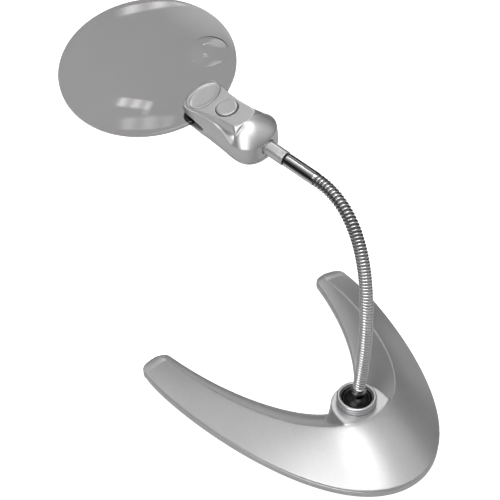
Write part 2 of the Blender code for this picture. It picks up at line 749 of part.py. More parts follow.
def lower_section(v):
    """Lower shell's ring."""
    wide, low = half_width(v), low_half(v)
    top = SEAM_H - GAP
    edge = low + (wide - low) * 0.25
    bevel = min(0.9, low * 0.3)
    outline = ((-edge, top), (-low, BOTTOM_H + 0.9), (-low + bevel, BOTTOM_H),
               (low - bevel, BOTTOM_H), (low, BOTTOM_H + 0.9), (edge, top))
    return [head_pt(u, v, h) for u, h in outline]


# -------------------------------------------------------------- head pieces
LENS_R, LENS_EDGE, LENS_CURVE = 53.5, 1.2, 435.0   # radius, half edge, face radius
INSET_U, INSET_V, INSET_R = 29.0, 87.6, 12.0
BUTTON_R = 6.3
OVAL_U, OVAL_L = 11.0, 6.9      # half axes of the oval
CELL_V, CELL_R, CELL_H = 33.0, 10.0, 3.1
CELL_BOTTOM = -6.2
DOOR_HALF, DOOR_REAR, DOOR_TOP = 10.2, 22.2, -6.6
# (u, v) places
LENS_SCREWS = ((-5.0, 63.0), (5.0, 63.0))
HEAD_SCREWS = ((-10.9, 49.5), (10.9, 49.5), (-10.3, 18.9), (10.3, 18.9))
LEDS = ((-9.3, 59.4), (9.3, 59.4))
LED_HOLE_R = 2.8
UPPER_CUT_H, LOWER_CUT_H = -7, -12  # cuts into the two shells start below them
# Relief of the upper jaw beside its middle: (v, h)
JAW_RELIEF = ((52.0, -1.5), (52.0, 1.7), (57.0, 2.2), (66.0, 4.6), (73.0, 5.2), (73.0, -1.5))


def lens_face(radius):
    """Height of the lens face; level outside the lens."""
    return (LENS_R ** 2 - min(radius, LENS_R) ** 2) / (2 * LENS_CURVE)


def lens_profile(grow=0, rim=0):
    """Half profile of the lens, or of its slot when grown."""
    radii = [(LENS_R + rim) * k / 4 for k in (0, 2, 3, 4)]
    upper = [(r, LENS_EDGE + grow + lens_face(r)) for r in radii]
    return upper + [(r, -h) for r, h in reversed(upper)]


def oval(grow, z0, z1, segments=28):
    """Oval block on the flat top."""
    angles = [2 * math.pi * k / segments for k in range(segments)]
    return loft([[plate_pt((OVAL_U + grow) * math.cos(t), (OVAL_L + grow) * math.sin(t), z)
                  for t in angles] for z in (z0, z1)])


def make_upper_shell():
    shell = piece("head_upper_shell", loft([head_section(v) for v in HEAD_STATIONS]),
                  PLASTIC, HEAD)
    # lens slot
    cut(shell, head_lathe(lens_profile(grow=0.4, rim=0.8), 40, 0, LENS_V))
    cut(shell, box((-25, 25), (52.0, 62.0), (-1.55, 1.55)))
    # the upper jaw lifts clear of the lens at both sides
    for side in (-1, 1):
        cut(shell, loft([[head_pt(side * u, v, h) for v, h in JAW_RELIEF] for u in (9.5, 20.0)]))
    # cells and circuit board
    cut(shell, head_lathe(rod(CELL_R + 0.5, SEAM_H - 1, 0.9), 22, 0, CELL_V))
    cut(shell, box((-8.9, 8.9), (24.0, 50.0), (SEAM_H - 1, 3.9)))
    # button flange and button
    cut(shell, button_lathe(rod(7.9, -8.0, -1.95), 20))
    cut(shell, button_lathe(rod(BUTTON_R + GAP + 0.1, -2.3, 4.0), 22))
    # sleeve and spindle end
    cut(shell, axial_lathe(rod(SLEEVE_R + GAP, 8.0, 20.8), 22))
    cut(shell, axial_lathe(rod(2.9, 20.0, 24.5), 14))
    # shallow recess for the inlay
    cut(shell, oval(GAP * 0.5, -0.7, 2.0))
    lens_screw_hole = stepped_rod(head_r=2.3, shank_r=1.4, start=UPPER_CUT_H, step=-4.2, end=5.6)
    for places, profile, segments in (
        (LENS_SCREWS, lens_screw_hole, 12),
        (HEAD_SCREWS, rod(1.3, UPPER_CUT_H, 0.4), 10),
        (LEDS, rod(LED_HOLE_R, UPPER_CUT_H, -3.3), 14),
    ):
        for u, v in places:
            cut(shell, head_lathe(profile, segments, u, v))


def make_lens():
    """Main lens with the stronger small lens moulded in."""
    lens = piece("main_lens", head_lathe(lens_profile(), 48, 0, LENS_V), ACRYLIC, HEAD)
    face = LENS_EDGE + lens_face(math.hypot(INSET_U, LENS_V - INSET_V))
    inset = [(0, 0.2), (INSET_R, 0.2), (INSET_R, face + 0.55), (7.5, face + 1.6),
             (0, face + 2.25)]
    join(lens, head_lathe(inset, 24, INSET_U, INSET_V))
    for u, v in LENS_SCREWS:
        cut(lens, head_lathe(rod(1.5, -9, 9), 12, u, v))


def make_lower_shell():
    lower = piece("head_lower_shell", loft([lower_section(v) for v in HEAD_STATIONS]),
                  PLASTIC, HEAD)
    door_half = DOOR_HALF + GAP
    cut(lower, box((-door_half, door_half), (DOOR_REAR - 0.4, DOOR_V + GAP), (LOWER_CUT_H, 0)))
    screw_hole = stepped_rod(head_r=2.3, shank_r=1.4, start=LOWER_CUT_H, step=-7.0, end=0)
    for u, v in HEAD_SCREWS:
        cut(lower, head_lathe(screw_hole, 12, u, v))
    for u, v in LEDS:
        cut(lower, head_lathe(rod(LED_HOLE_R, LOWER_CUT_H, 0), 14, u, v))


def make_head_screws():
    lens_screw = stepped_rod(head_r=2.0, shank_r=1.1, start=-5.4, step=-4.5, end=5.2)
    head_screw = [(0, -8.1), (1.8, -8.1), (2.0, -7.9), (2.0, -7.3), (1.0, -7.3), (1.0, 0.1),
                  (0, 0.1)]
    for name, places, profile in (("lens_screw", LENS_SCREWS, lens_screw),
                                  ("head_screw", HEAD_SCREWS, head_screw)):
        for number, (u, v) in enumerate(places, 1):
            piece(f"{name}_{number}", head_lathe(profile, 12, u, v), STEEL, HEAD)


def make_leds():
    profile = [(0, -8.9), (1.3, -8.6), (2.1, -7.9), (2.4, -7.0), (2.4, -3.6), (0, -3.6)]
    for name, (u, v) in zip(("led_left", "led_right"), LEDS):
        piece(name, head_lathe(profile, 14, u, v), LED_EPOXY, HEAD)


def make_electrics():
    """Two stacked cells, contacts, board and push switch."""
    for i in range(2):
        bottom = CELL_BOTTOM + i * (CELL_H + GAP)
        top = bottom + CELL_H
        profile = [(0, bottom), (CELL_R - 1.3, bottom), (CELL_R, bottom + 0.6), (CELL_R, top),
                   (0, top)]
        piece(f"coin_cell_{i + 1}", head_lathe(profile, 22, 0, CELL_V), CELL_STEEL, HEAD)
    piece("contact_top", box((-3.0, 3.0), (25.5, 38.0), (0.7, 1.1)), BRASS, HEAD)
    piece("contact_side", box((-2.5, 2.5), (43.5, 43.9), (-5.0, 1.6)), BRASS, HEAD)
    piece("circuit_board", box((-8.4, 8.4), (24.5, 49.6), (2.0, 2.9)), BOARD, HEAD)
    switch_v = 43.6
    corners = ((-1, -1), (1, -1), (1, 1), (-1, 1))
    # (half side, height): square body with a narrower plunger
    steps = ((3.0, 3.2), (3.0, 6.1), (1.6, 6.1001), (1.6, 8.5))
    rings = [[head_pt(x * half, switch_v + y * half, h) for x, y in corners]
             for half, h in steps]
    piece("push_switch", loft(rings), BLACK, HEAD)


def make_button():
    """Hollow cap with a retaining flange."""
    profile = [(4.4, -3.9), (7.4, -3.9), (7.4, -3.0), (BUTTON_R, -3.0), (BUTTON_R, 0.3),
               (BUTTON_R - 0.5, 0.8), (0, 1.0), (0, -1.3), (4.4, -1.3)]
    piece("power_button", button_lathe(profile, 22), PLASTIC, BUTTON)


def make_door():
    """Battery door, turning about its lens-side edge."""
    shape = box((-DOOR_HALF, DOOR_HALF), (DOOR_REAR, DOOR_V), (BOTTOM_H, DOOR_TOP))
    piece("battery_door", shape, PLASTIC, DOOR)


# ----------------------------------------------------------------- assembly
make_cover()
make_tray_and_weight()
make_base_screws()
make_feet()
make_collar()
make_seat()
make_stem()
make_neck()
make_roll_joint()
make_upper_shell()
piece("accent_inlay", oval(-GAP * 0.5, -0.4, 0.15), PLASTIC, HEAD)
make_lens()
make_lower_shell()
make_head_screws()
make_leds()
make_electrics()
make_button()
make_door()
bpy.context.view_layer.update()
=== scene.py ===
# Desk magnifier: a U-shaped weighted base, a coiled gooseneck on a ball pivot, and a head
# holding a round lens. The base stands on z = 0, is symmetric about x = 0 and its arms run
# towards +y. Geometry is worked out in millimetres; meshes, lights and camera are in metres.
import json
import math
import bpy
import bmesh
import numpy as np
from mathutils import Vector, Matrix
from mathutils.bvhtree import BVHTree


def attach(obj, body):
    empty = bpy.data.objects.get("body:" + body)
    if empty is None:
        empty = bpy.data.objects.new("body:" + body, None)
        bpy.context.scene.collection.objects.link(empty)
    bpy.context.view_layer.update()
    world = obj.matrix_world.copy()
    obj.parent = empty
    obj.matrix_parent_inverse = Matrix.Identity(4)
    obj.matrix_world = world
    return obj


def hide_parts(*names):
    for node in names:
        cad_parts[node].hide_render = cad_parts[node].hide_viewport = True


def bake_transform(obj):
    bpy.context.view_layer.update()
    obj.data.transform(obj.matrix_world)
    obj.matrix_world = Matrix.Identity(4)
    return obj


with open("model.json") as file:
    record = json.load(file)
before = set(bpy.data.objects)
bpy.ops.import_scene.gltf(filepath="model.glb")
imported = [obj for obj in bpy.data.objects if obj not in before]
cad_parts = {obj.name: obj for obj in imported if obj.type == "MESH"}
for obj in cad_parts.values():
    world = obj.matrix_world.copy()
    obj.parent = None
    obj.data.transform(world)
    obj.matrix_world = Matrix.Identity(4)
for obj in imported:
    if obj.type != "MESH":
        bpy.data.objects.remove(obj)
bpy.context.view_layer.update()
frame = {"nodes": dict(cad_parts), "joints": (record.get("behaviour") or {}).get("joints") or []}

JOINTS = {joint["name"]: joint for joint in frame["joints"]}

# ================================================================ dimensions
GAP = 0.3  # left between neighbouring pieces

# Base, +x half in plan: (x, y) control points of cubic curves from x = 0 to the arm's end
OUTER = ((0.0, -55.6), (64.95, -55.6), (86.2, 86.1), (82.4, 111.5))
INNER = ((0.0, 14.7), (17.5, 14.7), (48.0, 52.9), (60.1, 115.2))
CREST = ((0.0, -15.2), (46.5, -15.2), (64.2, 71.0), (65.8, 112.6))
CREST_Z = (29.3, 19.45, 8.9)  # control heights of the crest's quadratic curve
LEDGE_Z = 27.0  # flat top that cuts the crest off
TIP_REACH, TIP_POWER = 7.6, 2.6  # length and roundness of the arm tips
PLATE_BOTTOM, PLATE_TOP, LIP = 0.9, 5.2, 1.2  # LIP: upright edge of the cover
COVER_Z = PLATE_TOP + GAP
BOSS_HALF, BOSS_BACK = 17.6, 14.6  # half-width and +y end of the raised boss

# Underside of the base
SCREW_STATIONS = ((0.2, 0.24), (0.86, 0.42))  # (place on the arm, share from outer to crest)
SCREW_SINK = 1.0
FEET = (  # piece, x, y, radius
    ("foot_stem", 0, 0, 6.5), ("foot_front", 0, -44, 5.5),
    ("foot_left", -71.2, 107.5, 5.0), ("foot_right", 71.2, 107.5, 5.0),
)

# Ball pivot, collar and lower ferrule (ferrule ends are distances from the ball's centre)
BALL_R, BALL_Z, BALL_FLAT = 10.6, 24.2, 9.8
RING_R, RING_TOP, RING_HOLE = 12.4, 32.2, 9.3
FERRULE_R, FERRULE_START, FERRULE_END = 4.6, 10.2, 17.4
NECK_START = FERRULE_START + 1.5
BORE_R = 2.7

# Gooseneck
SECTIONS = 8
NECK_LEAN = 4.7  # degrees off vertical at the ball, away from the head
NECK_PULL_LOW, NECK_PULL_HIGH = 88.7, 35.5  # handle lengths of its cubic curve
NECK_STEPS = 400
PITCH, COIL_BORE = 2.1, 2.5
WIRE_BASE_R, WIRE_RISE = 3.36, 0.56
SHADED_GROOVE_R = 3.52  # below this radius a face takes the darker groove colour, painted shade between the turns
COIL_SEGMENTS, ROWS_PER_PITCH = 40, 14
TOP_FERRULE_R, TOP_FERRULE_LENGTH = 4.05, 22.9

# Head frame: origin at the roll joint, x across, y towards the lens, z off its upper face
LENS_CENTER = Vector((-34.91, 168.07, 193.30))
LENS_NORMAL = Vector((-0.2207, -0.1694, 0.9605))
LENS_R, LENS_EDGE, LENS_CURVE = 53.5, 1.2, 435.0  # radius, half rim thickness, face radius
INSET_AT, INSET_R = (29.0, 87.6), 12.0
SLEEVE_R, SEAM_Z, BOTTOM_Z = 4.4, -5.6, -8.2
REAR_Y, FRONT_Y = 13.2, 71.2
REAR_HALF, FRONT_HALF = 15.4, 15.2  # half-widths of the housing
PLATE_Z, PLATE_RISE, PLATE_REAR, PLATE_HALF = 8.5, 0.155, 27.3, 8.4  # flat on the upper face
BUTTON_Y, BUTTON_R = 44.1, 6.3
OVAL_Y, OVAL_HALF_X, OVAL_HALF_Y = 62.0, 11.0, 6.9
DOOR_Y = 45.0
HEAD_SCREWS = ((-10.9, 49.5), (10.9, 49.5), (-10.3, 18.9), (10.3, 18.9))
SCREW_HEAD_Z = -8.05
LEDS, LED_R = ((-9.3, 59.4), (9.3, 59.4)), 2.4

# ==================================================================== frames
JOINT = Vector(JOINTS["head_roll"]["pos_m"]) * 1000
BALL = Vector(JOINTS["ball_swivel_turn"]["pos_m"]) * 1000
HEAD_Z = LENS_NORMAL.normalized()
to_lens = LENS_CENTER - JOINT
to_lens = to_lens - HEAD_Z * to_lens.dot(HEAD_Z)
LENS_Y = to_lens.length
HEAD_Y = to_lens.normalized()
HEAD_X = HEAD_Y.cross(HEAD_Z).normalized()
heading = math.atan2(-JOINT.x, JOINT.y)
TOWARDS = Vector((-math.sin(heading), math.cos(heading), 0.0))
SIDEWAYS = Vector((math.cos(heading), math.sin(heading), 0.0))
lean = math.radians(NECK_LEAN)
STEM_AXIS = (Vector((0, 0, 1)) * math.cos(lean) - TOWARDS * math.sin(lean)).normalized()
PLATE_NORMAL = (HEAD_Z + HEAD_Y * PLATE_RISE).normalized()
PLATE_ALONG = (HEAD_Y - HEAD_Z * PLATE_RISE).normalized()
BUTTON_PLATE_Y = (BUTTON_Y - OVAL_Y) * math.sqrt(1 + PLATE_RISE ** 2)


def head_point(x, y, z):
    return JOINT + HEAD_X * x + HEAD_Y * y + HEAD_Z * z


def plate_point(x, y, z):
    """Point measured from the oval's centre on the sloping flat of the head."""
    origin = head_point(0, OVAL_Y, PLATE_Z)
    return origin + HEAD_X * x + PLATE_ALONG * y + PLATE_NORMAL * z


# Turning frames: origin and three axes, the last one being the axis of rotation
def base_frame(x=0, y=0):
    return Vector((x, y, 0)), Vector((1, 0, 0)), Vector((0, 1, 0)), Vector((0, 0, 1))


def head_frame(x=0.0, y=0.0):
    return head_point(x, y, 0), HEAD_X, HEAD_Y, HEAD_Z


STEM_FRAME = (BALL, SIDEWAYS, STEM_AXIS.cross(SIDEWAYS), STEM_AXIS)
ROLL_FRAME = (JOINT, HEAD_Z, HEAD_X, HEAD_Y)
BUTTON_FRAME = (plate_point(0.0, BUTTON_PLATE_Y, 0), HEAD_X, PLATE_ALONG, PLATE_NORMAL)


# ============================================================== node helpers
def feed(tree, node, inputs):
    """Links sockets to a node's inputs, and sets everything else as plain values."""
    for key, value in inputs.items():
        if isinstance(value, bpy.types.NodeSocket):
            tree.links.new(value, node.inputs[key])
        else:
            node.inputs[key].default_value = value


def add_node(tree, kind, inputs, **settings):
    node = tree.nodes.new("ShaderNode" + kind)
    for key, value in settings.items():
        setattr(node, key, value)
    feed(tree, node, inputs)
    return node


def calc(tree, operation, *values):
    return add_node(tree, "Math", dict(enumerate(values)), operation=operation).outputs[0]


def vector_calc(tree, operation, inputs, output=0):
    return add_node(tree, "VectorMath", inputs, operation=operation).outputs[output]


def noise(tree, position, scale, detail=3.0, rough=0.5, output="Fac"):
    inputs = {"Scale": scale, "Detail": detail, "Roughness": rough, "Vector": position}
    return add_node(tree, "TexNoise", inputs).outputs[output]


def remap(tree, value, low, high, start=0.3, end=0.7, **settings):
    inputs = {"From Min": start, "From Max": end, "To Min": low, "To Max": high, "Value": value}
    return add_node(tree, "MapRange", inputs, **settings).outputs["Result"]


def mix_color(tree, factor, first, second):
    inputs = {"A": (*first, 1), "B": (*second, 1), "Factor": factor}
    return add_node(tree, "Mix", inputs, data_type="RGBA").outputs["Result"]


def grey_ramp(tree, factor, stops):
    """Color ramp through (position, grey) stops, the first at 0 and the last at 1."""
    node = add_node(tree, "ValToRGB", {0: factor})
    elements = node.color_ramp.elements
    for position, _ in stops[1:-1]:
        elements.new(position)
    for element, (_, grey) in zip(elements, stops):
        element.color = (grey, grey, grey, 1)
    return node.outputs[0]


def bump_normal(tree, height, strength, distance):
    inputs = {"Strength": strength, "Distance": distance, "Height": height}
    return add_node(tree, "Bump", inputs).outputs["Normal"]


def new_material(name):
    """Material, its node tree, its Principled shader and object coordinates."""
    material = bpy.data.materials.new(name)
    material.use_nodes = True
    tree = material.node_tree
    position = add_node(tree, "TexCoord", {}).outputs["Object"]
    return material, tree, tree.nodes["Principled BSDF"], position


# ================================================================= materials
def flake_paint(name, base, dark, rough, metallic, coat, flake, sparkle):
    """Silver lacquer: fine flake tilts the normal under slow tone drift and orange peel."""
    material, tree, shader, position = new_material(name)
    drift = noise(tree, position, scale=18, detail=2)
    fine = noise(tree, position, scale=420, detail=3)
    tone = calc(tree, "ADD", remap(tree, drift, 0, 0.7), remap(tree, fine, 0, 0.3))
    grit = noise(tree, position, scale=flake, detail=1, rough=0.4, output="Color")
    tilt = vector_calc(tree, "SUBTRACT", {0: grit, 1: (0.5, 0.5, 0.5)})
    tilt = vector_calc(tree, "SCALE", {0: tilt, "Scale": sparkle})
    peel = noise(tree, position, scale=900, detail=2)
    peel_normal = bump_normal(tree, peel, strength=0.04, distance=0.0002)
    normal = vector_calc(tree, "ADD", {0: peel_normal, 1: tilt})
    feed(tree, shader, {
        "Base Color": mix_color(tree, tone, dark, base),
        "Metallic": metallic,
        "Roughness": remap(tree, fine, rough - 0.03, rough + 0.05),
        "Normal": vector_calc(tree, "NORMALIZE", {0: normal}),
        "Coat Weight": coat,
        "Coat Roughness": 0.12,
    })
    return material


# (position, brightness) of the painted reflection across the view-space normal, from facing
# down-left to up-right
PAINTED_REFLECTION_STOPS = (
    (0.0, 0.9), (0.10, 0.9), (0.17, 0.10), (0.32, 0.06), (0.38, 0.26), (0.50, 0.30),
    (0.56, 1.0), (0.69, 1.0), (0.74, 0.14), (0.90, 0.16), (0.96, 0.6), (1.0, 0.7),
)


def add_painted_reflection(tree, position, color, reflection_paint, fade):
    """Painted reflection: dark flags and bright gaps multiplied into the colour, as mirrored
    lengthwise in plated metal; fade is in z.
    """
    geometry = add_node(tree, "NewGeometry", {})
    view = add_node(tree, "VectorTransform", {0: geometry.outputs["Normal"]},
                    vector_type="NORMAL", convert_from="WORLD", convert_to="CAMERA")
    facing = vector_calc(tree, "DOT_PRODUCT", {0: view.outputs[0], 1: (0.57, 0.82, 0.0)},
                         output="Value")
    facing = calc(tree, "MULTIPLY_ADD", facing, 0.5, 0.5)
    stops = [(at, 1 - reflection_paint * (1 - value)) for at, value in PAINTED_REFLECTION_STOPS]
    inputs = {"Factor": 1.0, "A": color, "B": grey_ramp(tree, facing, stops)}
    multiply = add_node(tree, "Mix", inputs, data_type="RGBA", blend_type="MULTIPLY")
    if fade:
        height = add_node(tree, "SeparateXYZ", {0: position}).outputs["Z"]
        amount = remap(tree, height, 0, 1, start=fade[0], end=fade[1],
                       interpolation_type="SMOOTHSTEP")
        feed(tree, multiply, {"Factor": amount})
    return multiply.outputs["Result"]


def metal(name, base, rough, spread, scale=300.0, stretch=None, bump=0.0, reflection_paint=0.0,
          fade=None, metallic=1.0):
    """Metallic finish: fine marks break up the roughness, with a faint tone drift; painted
    reflection streaks can be multiplied into the colour.
    """
    material, tree, shader, position = new_material(name)
    marks_at = position
    if stretch:
        mapping = add_node(tree, "Mapping", {"Scale": stretch, "Vector": position})
        marks_at = mapping.outputs["Vector"]
    marks = noise(tree, marks_at, scale=scale, detail=4, rough=0.6)
    color = mix_color(tree, marks, tuple(c * 0.9 for c in base), base)
    # painted reflection: streaks picked by the camera-space normal darken and lighten the colour
    if reflection_paint:
        color = add_painted_reflection(tree, position, color, reflection_paint, fade)
    feed(tree, shader, {
        "Roughness": remap(tree, marks, rough - spread, rough + spread),
        "Base Color": color,
        "Metallic": metallic,
    })
    if bump:
        feed(tree, shader, {"Normal": bump_normal(tree, marks, bump, distance=0.0001)})
    return material


def plastic(name, base, rough, spread, scale=600.0, bump=0.05, specular=0.5, coat=0.0):
    material, tree, shader, position = new_material(name)
    grain = noise(tree, position, scale=scale, detail=3)
    feed(tree, shader, {
        "Roughness": remap(tree, grain, rough - spread, rough + spread),
        "Base Color": mix_color(tree, grain, tuple(c * 0.85 for c in base), base),
        "Specular IOR Level": specular,
        "Coat Weight": coat,
        "Normal": bump_normal(tree, grain, bump, distance=0.0002),
    })
    return material


def lens_material(name):
    """Clear acrylic with a slightly uneven neutral grey cast; only front faces reflect."""
    material, tree, shader, position = new_material(name)
    tree.nodes.remove(shader)
    cast = noise(tree, position, scale=30, detail=2)
    tint = mix_color(tree, cast, (0.415, 0.410, 0.414), (0.430, 0.425, 0.429))
    clear = add_node(tree, "BsdfTransparent", {"Color": tint})
    gloss = add_node(tree, "BsdfGlossy", {"Roughness": 0.03, "Color": (0.95, 0.95, 0.95, 1)})
    fresnel = add_node(tree, "Fresnel", {"IOR": 1.49})
    smear = noise(tree, position, scale=140, detail=4)
    mirror = calc(tree, "MULTIPLY", fresnel.outputs["Fac"], remap(tree, smear, 0.95, 1.1))
    geometry = add_node(tree, "NewGeometry", {})
    front = calc(tree, "SUBTRACT", 1.0, geometry.outputs["Backfacing"])
    outside = calc(tree, "MULTIPLY", mirror, front)
    surface = add_node(tree, "MixShader",
                       {0: outside, 1: clear.outputs[0], 2: gloss.outputs[0]})
    feed(tree, tree.nodes["Material Output"], {"Surface": surface.outputs[0]})
    return material


def led_material(name):
    material, tree, shader, position = new_material(name)
    cloud = noise(tree, position, scale=700, detail=2)
    feed(tree, shader, {
        "Base Color": mix_color(tree, cloud, (0.86, 0.86, 0.70), (0.93, 0.93, 0.84)),
        "Roughness": 0.08,
        "Transmission Weight": 0.6,
        "IOR": 1.5,
    })
    return material


COIL_REFLECTION_FADE = (0.10, 0.165)  # heights between which the coil's painted reflection streaks come in, metres

PAINT = flake_paint("mat_base_lacquer", (0.56, 0.56, 0.565), (0.48, 0.48, 0.485), rough=0.36,
                    metallic=0.75, coat=0.35, flake=2200.0, sparkle=0.12)
HEAD_PAINT = metal("mat_head_lacquer", (0.62, 0.62, 0.62), rough=0.33, spread=0.04,
                   scale=420.0, metallic=0.82)
BUTTON_PAINT = metal("mat_button_lacquer", (0.60, 0.60, 0.60), rough=0.36, spread=0.04,
                     scale=500.0, metallic=0.8)
# chrome and coil colours carry painted reflection streaks
CHROME = metal("mat_chrome", (0.80, 0.80, 0.81), rough=0.12, spread=0.03, reflection_paint=1.0)
COIL = metal("mat_coil_chrome", (0.80, 0.80, 0.81), rough=0.18, spread=0.05, scale=900.0,
             reflection_paint=0.9, fade=COIL_REFLECTION_FADE)
# groove colour: painted shade in the crease between the coil's turns
GROOVE_SHADE = metal("mat_coil_groove_painted_shade", (0.24, 0.24, 0.24), rough=0.40, spread=0.08, scale=900.0,
               reflection_paint=0.6, fade=COIL_REFLECTION_FADE)
SATIN = metal("mat_satin_ring", (0.60, 0.60, 0.61), rough=0.30, spread=0.05, scale=260.0,
              stretch=(1, 1, 14), bump=0.05)
ZINC = metal("mat_zinc_screw", (0.55, 0.56, 0.58), rough=0.34, spread=0.08, scale=500.0,
             bump=0.1)
CAST = metal("mat_ballast", (0.20, 0.20, 0.21), rough=0.55, spread=0.1, scale=120.0, bump=0.4)
BALL_BLACK = plastic("mat_ball_black", (0.004, 0.004, 0.004), rough=0.22, spread=0.05,
                     scale=500.0, bump=0.03, specular=0.22, coat=0.08)
BLACK = plastic("mat_black_plastic", (0.006, 0.006, 0.006), rough=0.3, spread=0.08,
                specular=0.25)
RUBBER = plastic("mat_foot_rubber", (0.03, 0.03, 0.031), rough=0.75, spread=0.1,
                 scale=1400.0, bump=0.5, specular=0.3)
BOARD = plastic("mat_board", (0.02, 0.16, 0.06), rough=0.4, spread=0.1, scale=900.0)
BRASS = metal("mat_contact", (0.78, 0.62, 0.33), rough=0.25, spread=0.06)
CELL = metal("mat_cell", (0.70, 0.70, 0.72), rough=0.25, spread=0.06, scale=200.0, bump=0.05)
LENS = lens_material("mat_lens")
LED = led_material("mat_led")


# ============================================================== mesh helpers
def recalc_normals(mesh, merge=None):
    """Turns all faces outwards, after merging vertices closer than merge (metres)."""
    work = bmesh.new()
    work.from_mesh(mesh)
    if merge:
        bmesh.ops.remove_doubles(work, verts=work.verts[:], dist=merge)
    bmesh.ops.recalc_face_normals(work, faces=work.faces[:])
    work.to_mesh(mesh)
    work.free()


def reshade(piece, sharp=32):
    """Smooth shading with edges sharper than the given angle, in degrees, kept hard."""
    piece.data.shade_smooth()
    piece.data.set_sharp_from_angle(angle=math.radians(sharp))


def make(name, shape, material=None, sharp=32):
    """Object from a shape, a pair of vertices in millimetres and faces."""
    verts, faces = shape
    mesh = bpy.data.meshes.new(name)
    mesh.from_pydata([tuple(Vector(v) * 0.001) for v in verts], [], faces)
    mesh.validate()
    mesh.update()
    recalc_normals(mesh, merge=1e-7)
    piece = bpy.data.objects.new(name, mesh)
    reshade(piece, sharp)
    if material:
        mesh.materials.append(material)
    bpy.context.scene.collection.objects.link(piece)
    return piece


def bake(piece):
    """Keeps the result of an object's modifiers as its mesh."""
    bpy.context.view_layer.update()
    depsgraph = bpy.context.evaluated_depsgraph_get()
    mesh = bpy.data.meshes.new_from_object(piece.evaluated_get(depsgraph))
    piece.modifiers.clear()
    old = piece.data
    materials = list(old.materials)
    piece.data = mesh
    mesh.name = piece.name
    bpy.data.meshes.remove(old)
    mesh.materials.clear()
    for material in materials:
        mesh.materials.append(material)


def boolean(piece, tool, operation="DIFFERENCE"):
    modifier = piece.modifiers.new("b", "BOOLEAN")
    modifier.operation = operation
    modifier.solver = "EXACT"
    modifier.object = tool
    bake(piece)
    bpy.data.objects.remove(tool, do_unlink=True)


def cut(piece, shape):
    boolean(piece, make("tool", shape))


def join(piece, shape):
    boolean(piece, make("tool", shape), "UNION")


def loft(rings):
    """Skin through rings of equally many points, closed at both ends."""
    count = len(rings[0])
    verts = [point for ring in rings for point in ring]
    faces = []
    for i in range(len(rings) - 1):
        for j in range(count):
            a, b = i * count + j, i * count + (j + 1) % count
            faces.append((a, b, b + count, a + count))
    faces.append(tuple(range(count - 1, -1, -1)))
    last = (len(rings) - 1) * count
    faces.append(tuple(range(last, last + count)))
    return verts, faces


def round_profile(profile, radius, steps):
    """Rounds the corners of a closed (radius, height) profile; corners on the axis stay."""
    out = []
    for i, corner in enumerate(profile):
        before, after = Vector(profile[i - 1]), Vector(profile[(i + 1) % len(profile)])
        corner = Vector(corner)
        reach_in, reach_out = (before - corner).length, (after - corner).length
        if corner.x < 1e-6 or reach_in < 1e-6 or reach_out < 1e-6:
            out.append(tuple(corner))
            continue
        trim = min(radius, reach_in * 0.45, reach_out * 0.45)
        start = corner + (before - corner) / reach_in * trim
        end = corner + (after - corner) / reach_out * trim
        for k in range(steps + 1):
            part = k / steps
            point = start * (1 - part) ** 2 + corner * (2 * part * (1 - part))
            out.append(tuple(point + end * part * part))
    return out


def lathe(profile, segments, turning=base_frame()):
    """Turns a closed (radius, height) profile about the last axis of a turning frame."""
    origin, side, other, axis = turning
    verts, rows = [], []
    for radius, z in profile:
        if radius < 1e-6:
            rows.append([len(verts)] * segments)
            verts.append(origin + axis * z)
        else:
            rows.append(list(range(len(verts), len(verts) + segments)))
            for k in range(segments):
                angle = 2 * math.pi * k / segments
                spot = origin + side * (radius * math.cos(angle))
                verts.append(spot + other * (radius * math.sin(angle)) + axis * z)
    faces = []
    for i, row in enumerate(rows):
        after = rows[(i + 1) % len(rows)]
        for k in range(segments):
            turn = (k + 1) % segments
            corners = [row[k], row[turn], after[turn], after[k]]
            corners = [c for n, c in enumerate(corners) if c not in corners[:n]]
            if len(corners) > 2:
                faces.append(tuple(corners))
    return verts, faces


def rod(radius, z0, z1):
    return [(0, z0), (radius, z0), (radius, z1), (0, z1)]


def head_box(x0, x1, y0, y1, z0, z1):
    corners = ((x0, y0), (x1, y0), (x1, y1), (x0, y1))
    verts = [head_point(x, y, z) for z in (z0, z1) for x, y in corners]
    sides = [(0, 1, 5, 4), (1, 2, 6, 5), (2, 3, 7, 6), (3, 0, 4, 7)]
    return verts, [(3, 2, 1, 0), (4, 5, 6, 7)] + sides


def soften(piece, voxel, passes, snap):
    """Rounds every edge a little: voxel skin, smoothing, then points nearer than snap
    to the exact surface go back onto it."""
    source = BVHTree.FromObject(piece, bpy.context.evaluated_depsgraph_get())
    modifier = piece.modifiers.new("r", "REMESH")
    modifier.mode = "VOXEL"
    modifier.voxel_size = voxel * 0.001
    bake(piece)
    mesh = piece.data
    count = len(mesh.vertices)
    points = np.zeros(count * 3, np.float32)
    mesh.vertices.foreach_get("co", points)
    points = points.reshape(-1, 3).astype(float)
    edges = np.zeros(len(mesh.edges) * 2, np.int32)
    mesh.edges.foreach_get("vertices", edges)
    edges = edges.reshape(-1, 2)
    degree = np.bincount(edges.ravel(), minlength=count).astype(float)

    def neighbour_sum(values):
        total = np.zeros_like(values)
        np.add.at(total, edges[:, 0], values[edges[:, 1]])
        np.add.at(total, edges[:, 1], values[edges[:, 0]])
        return total

    for _ in range(passes):
        points = points * 0.5 + neighbour_sum(points) / degree[:, None] * 0.5
    near = np.zeros_like(points)
    for i in range(count):
        hit = source.find_nearest(Vector(points[i]))
        near[i] = hit[0] if hit[0] is not None else points[i]
    distance = np.linalg.norm(near - points, axis=1) * 1000
    weight = 1 - np.clip((distance - snap * 0.5) / (snap * 0.5), 0, 1)
    weight = weight * weight * (3 - 2 * weight)
    for _ in range(2):
        weight = np.minimum(weight, neighbour_sum(weight) / degree)
    points = near * weight[:, None] + points * (1 - weight[:, None])
    mesh.vertices.foreach_set("co", points.astype(np.float32).ravel())
    mesh.update()
    mesh.shade_smooth()


def finish(piece, body, slot, *nodes):
    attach(piece, body)
    if nodes:
        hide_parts(*nodes)


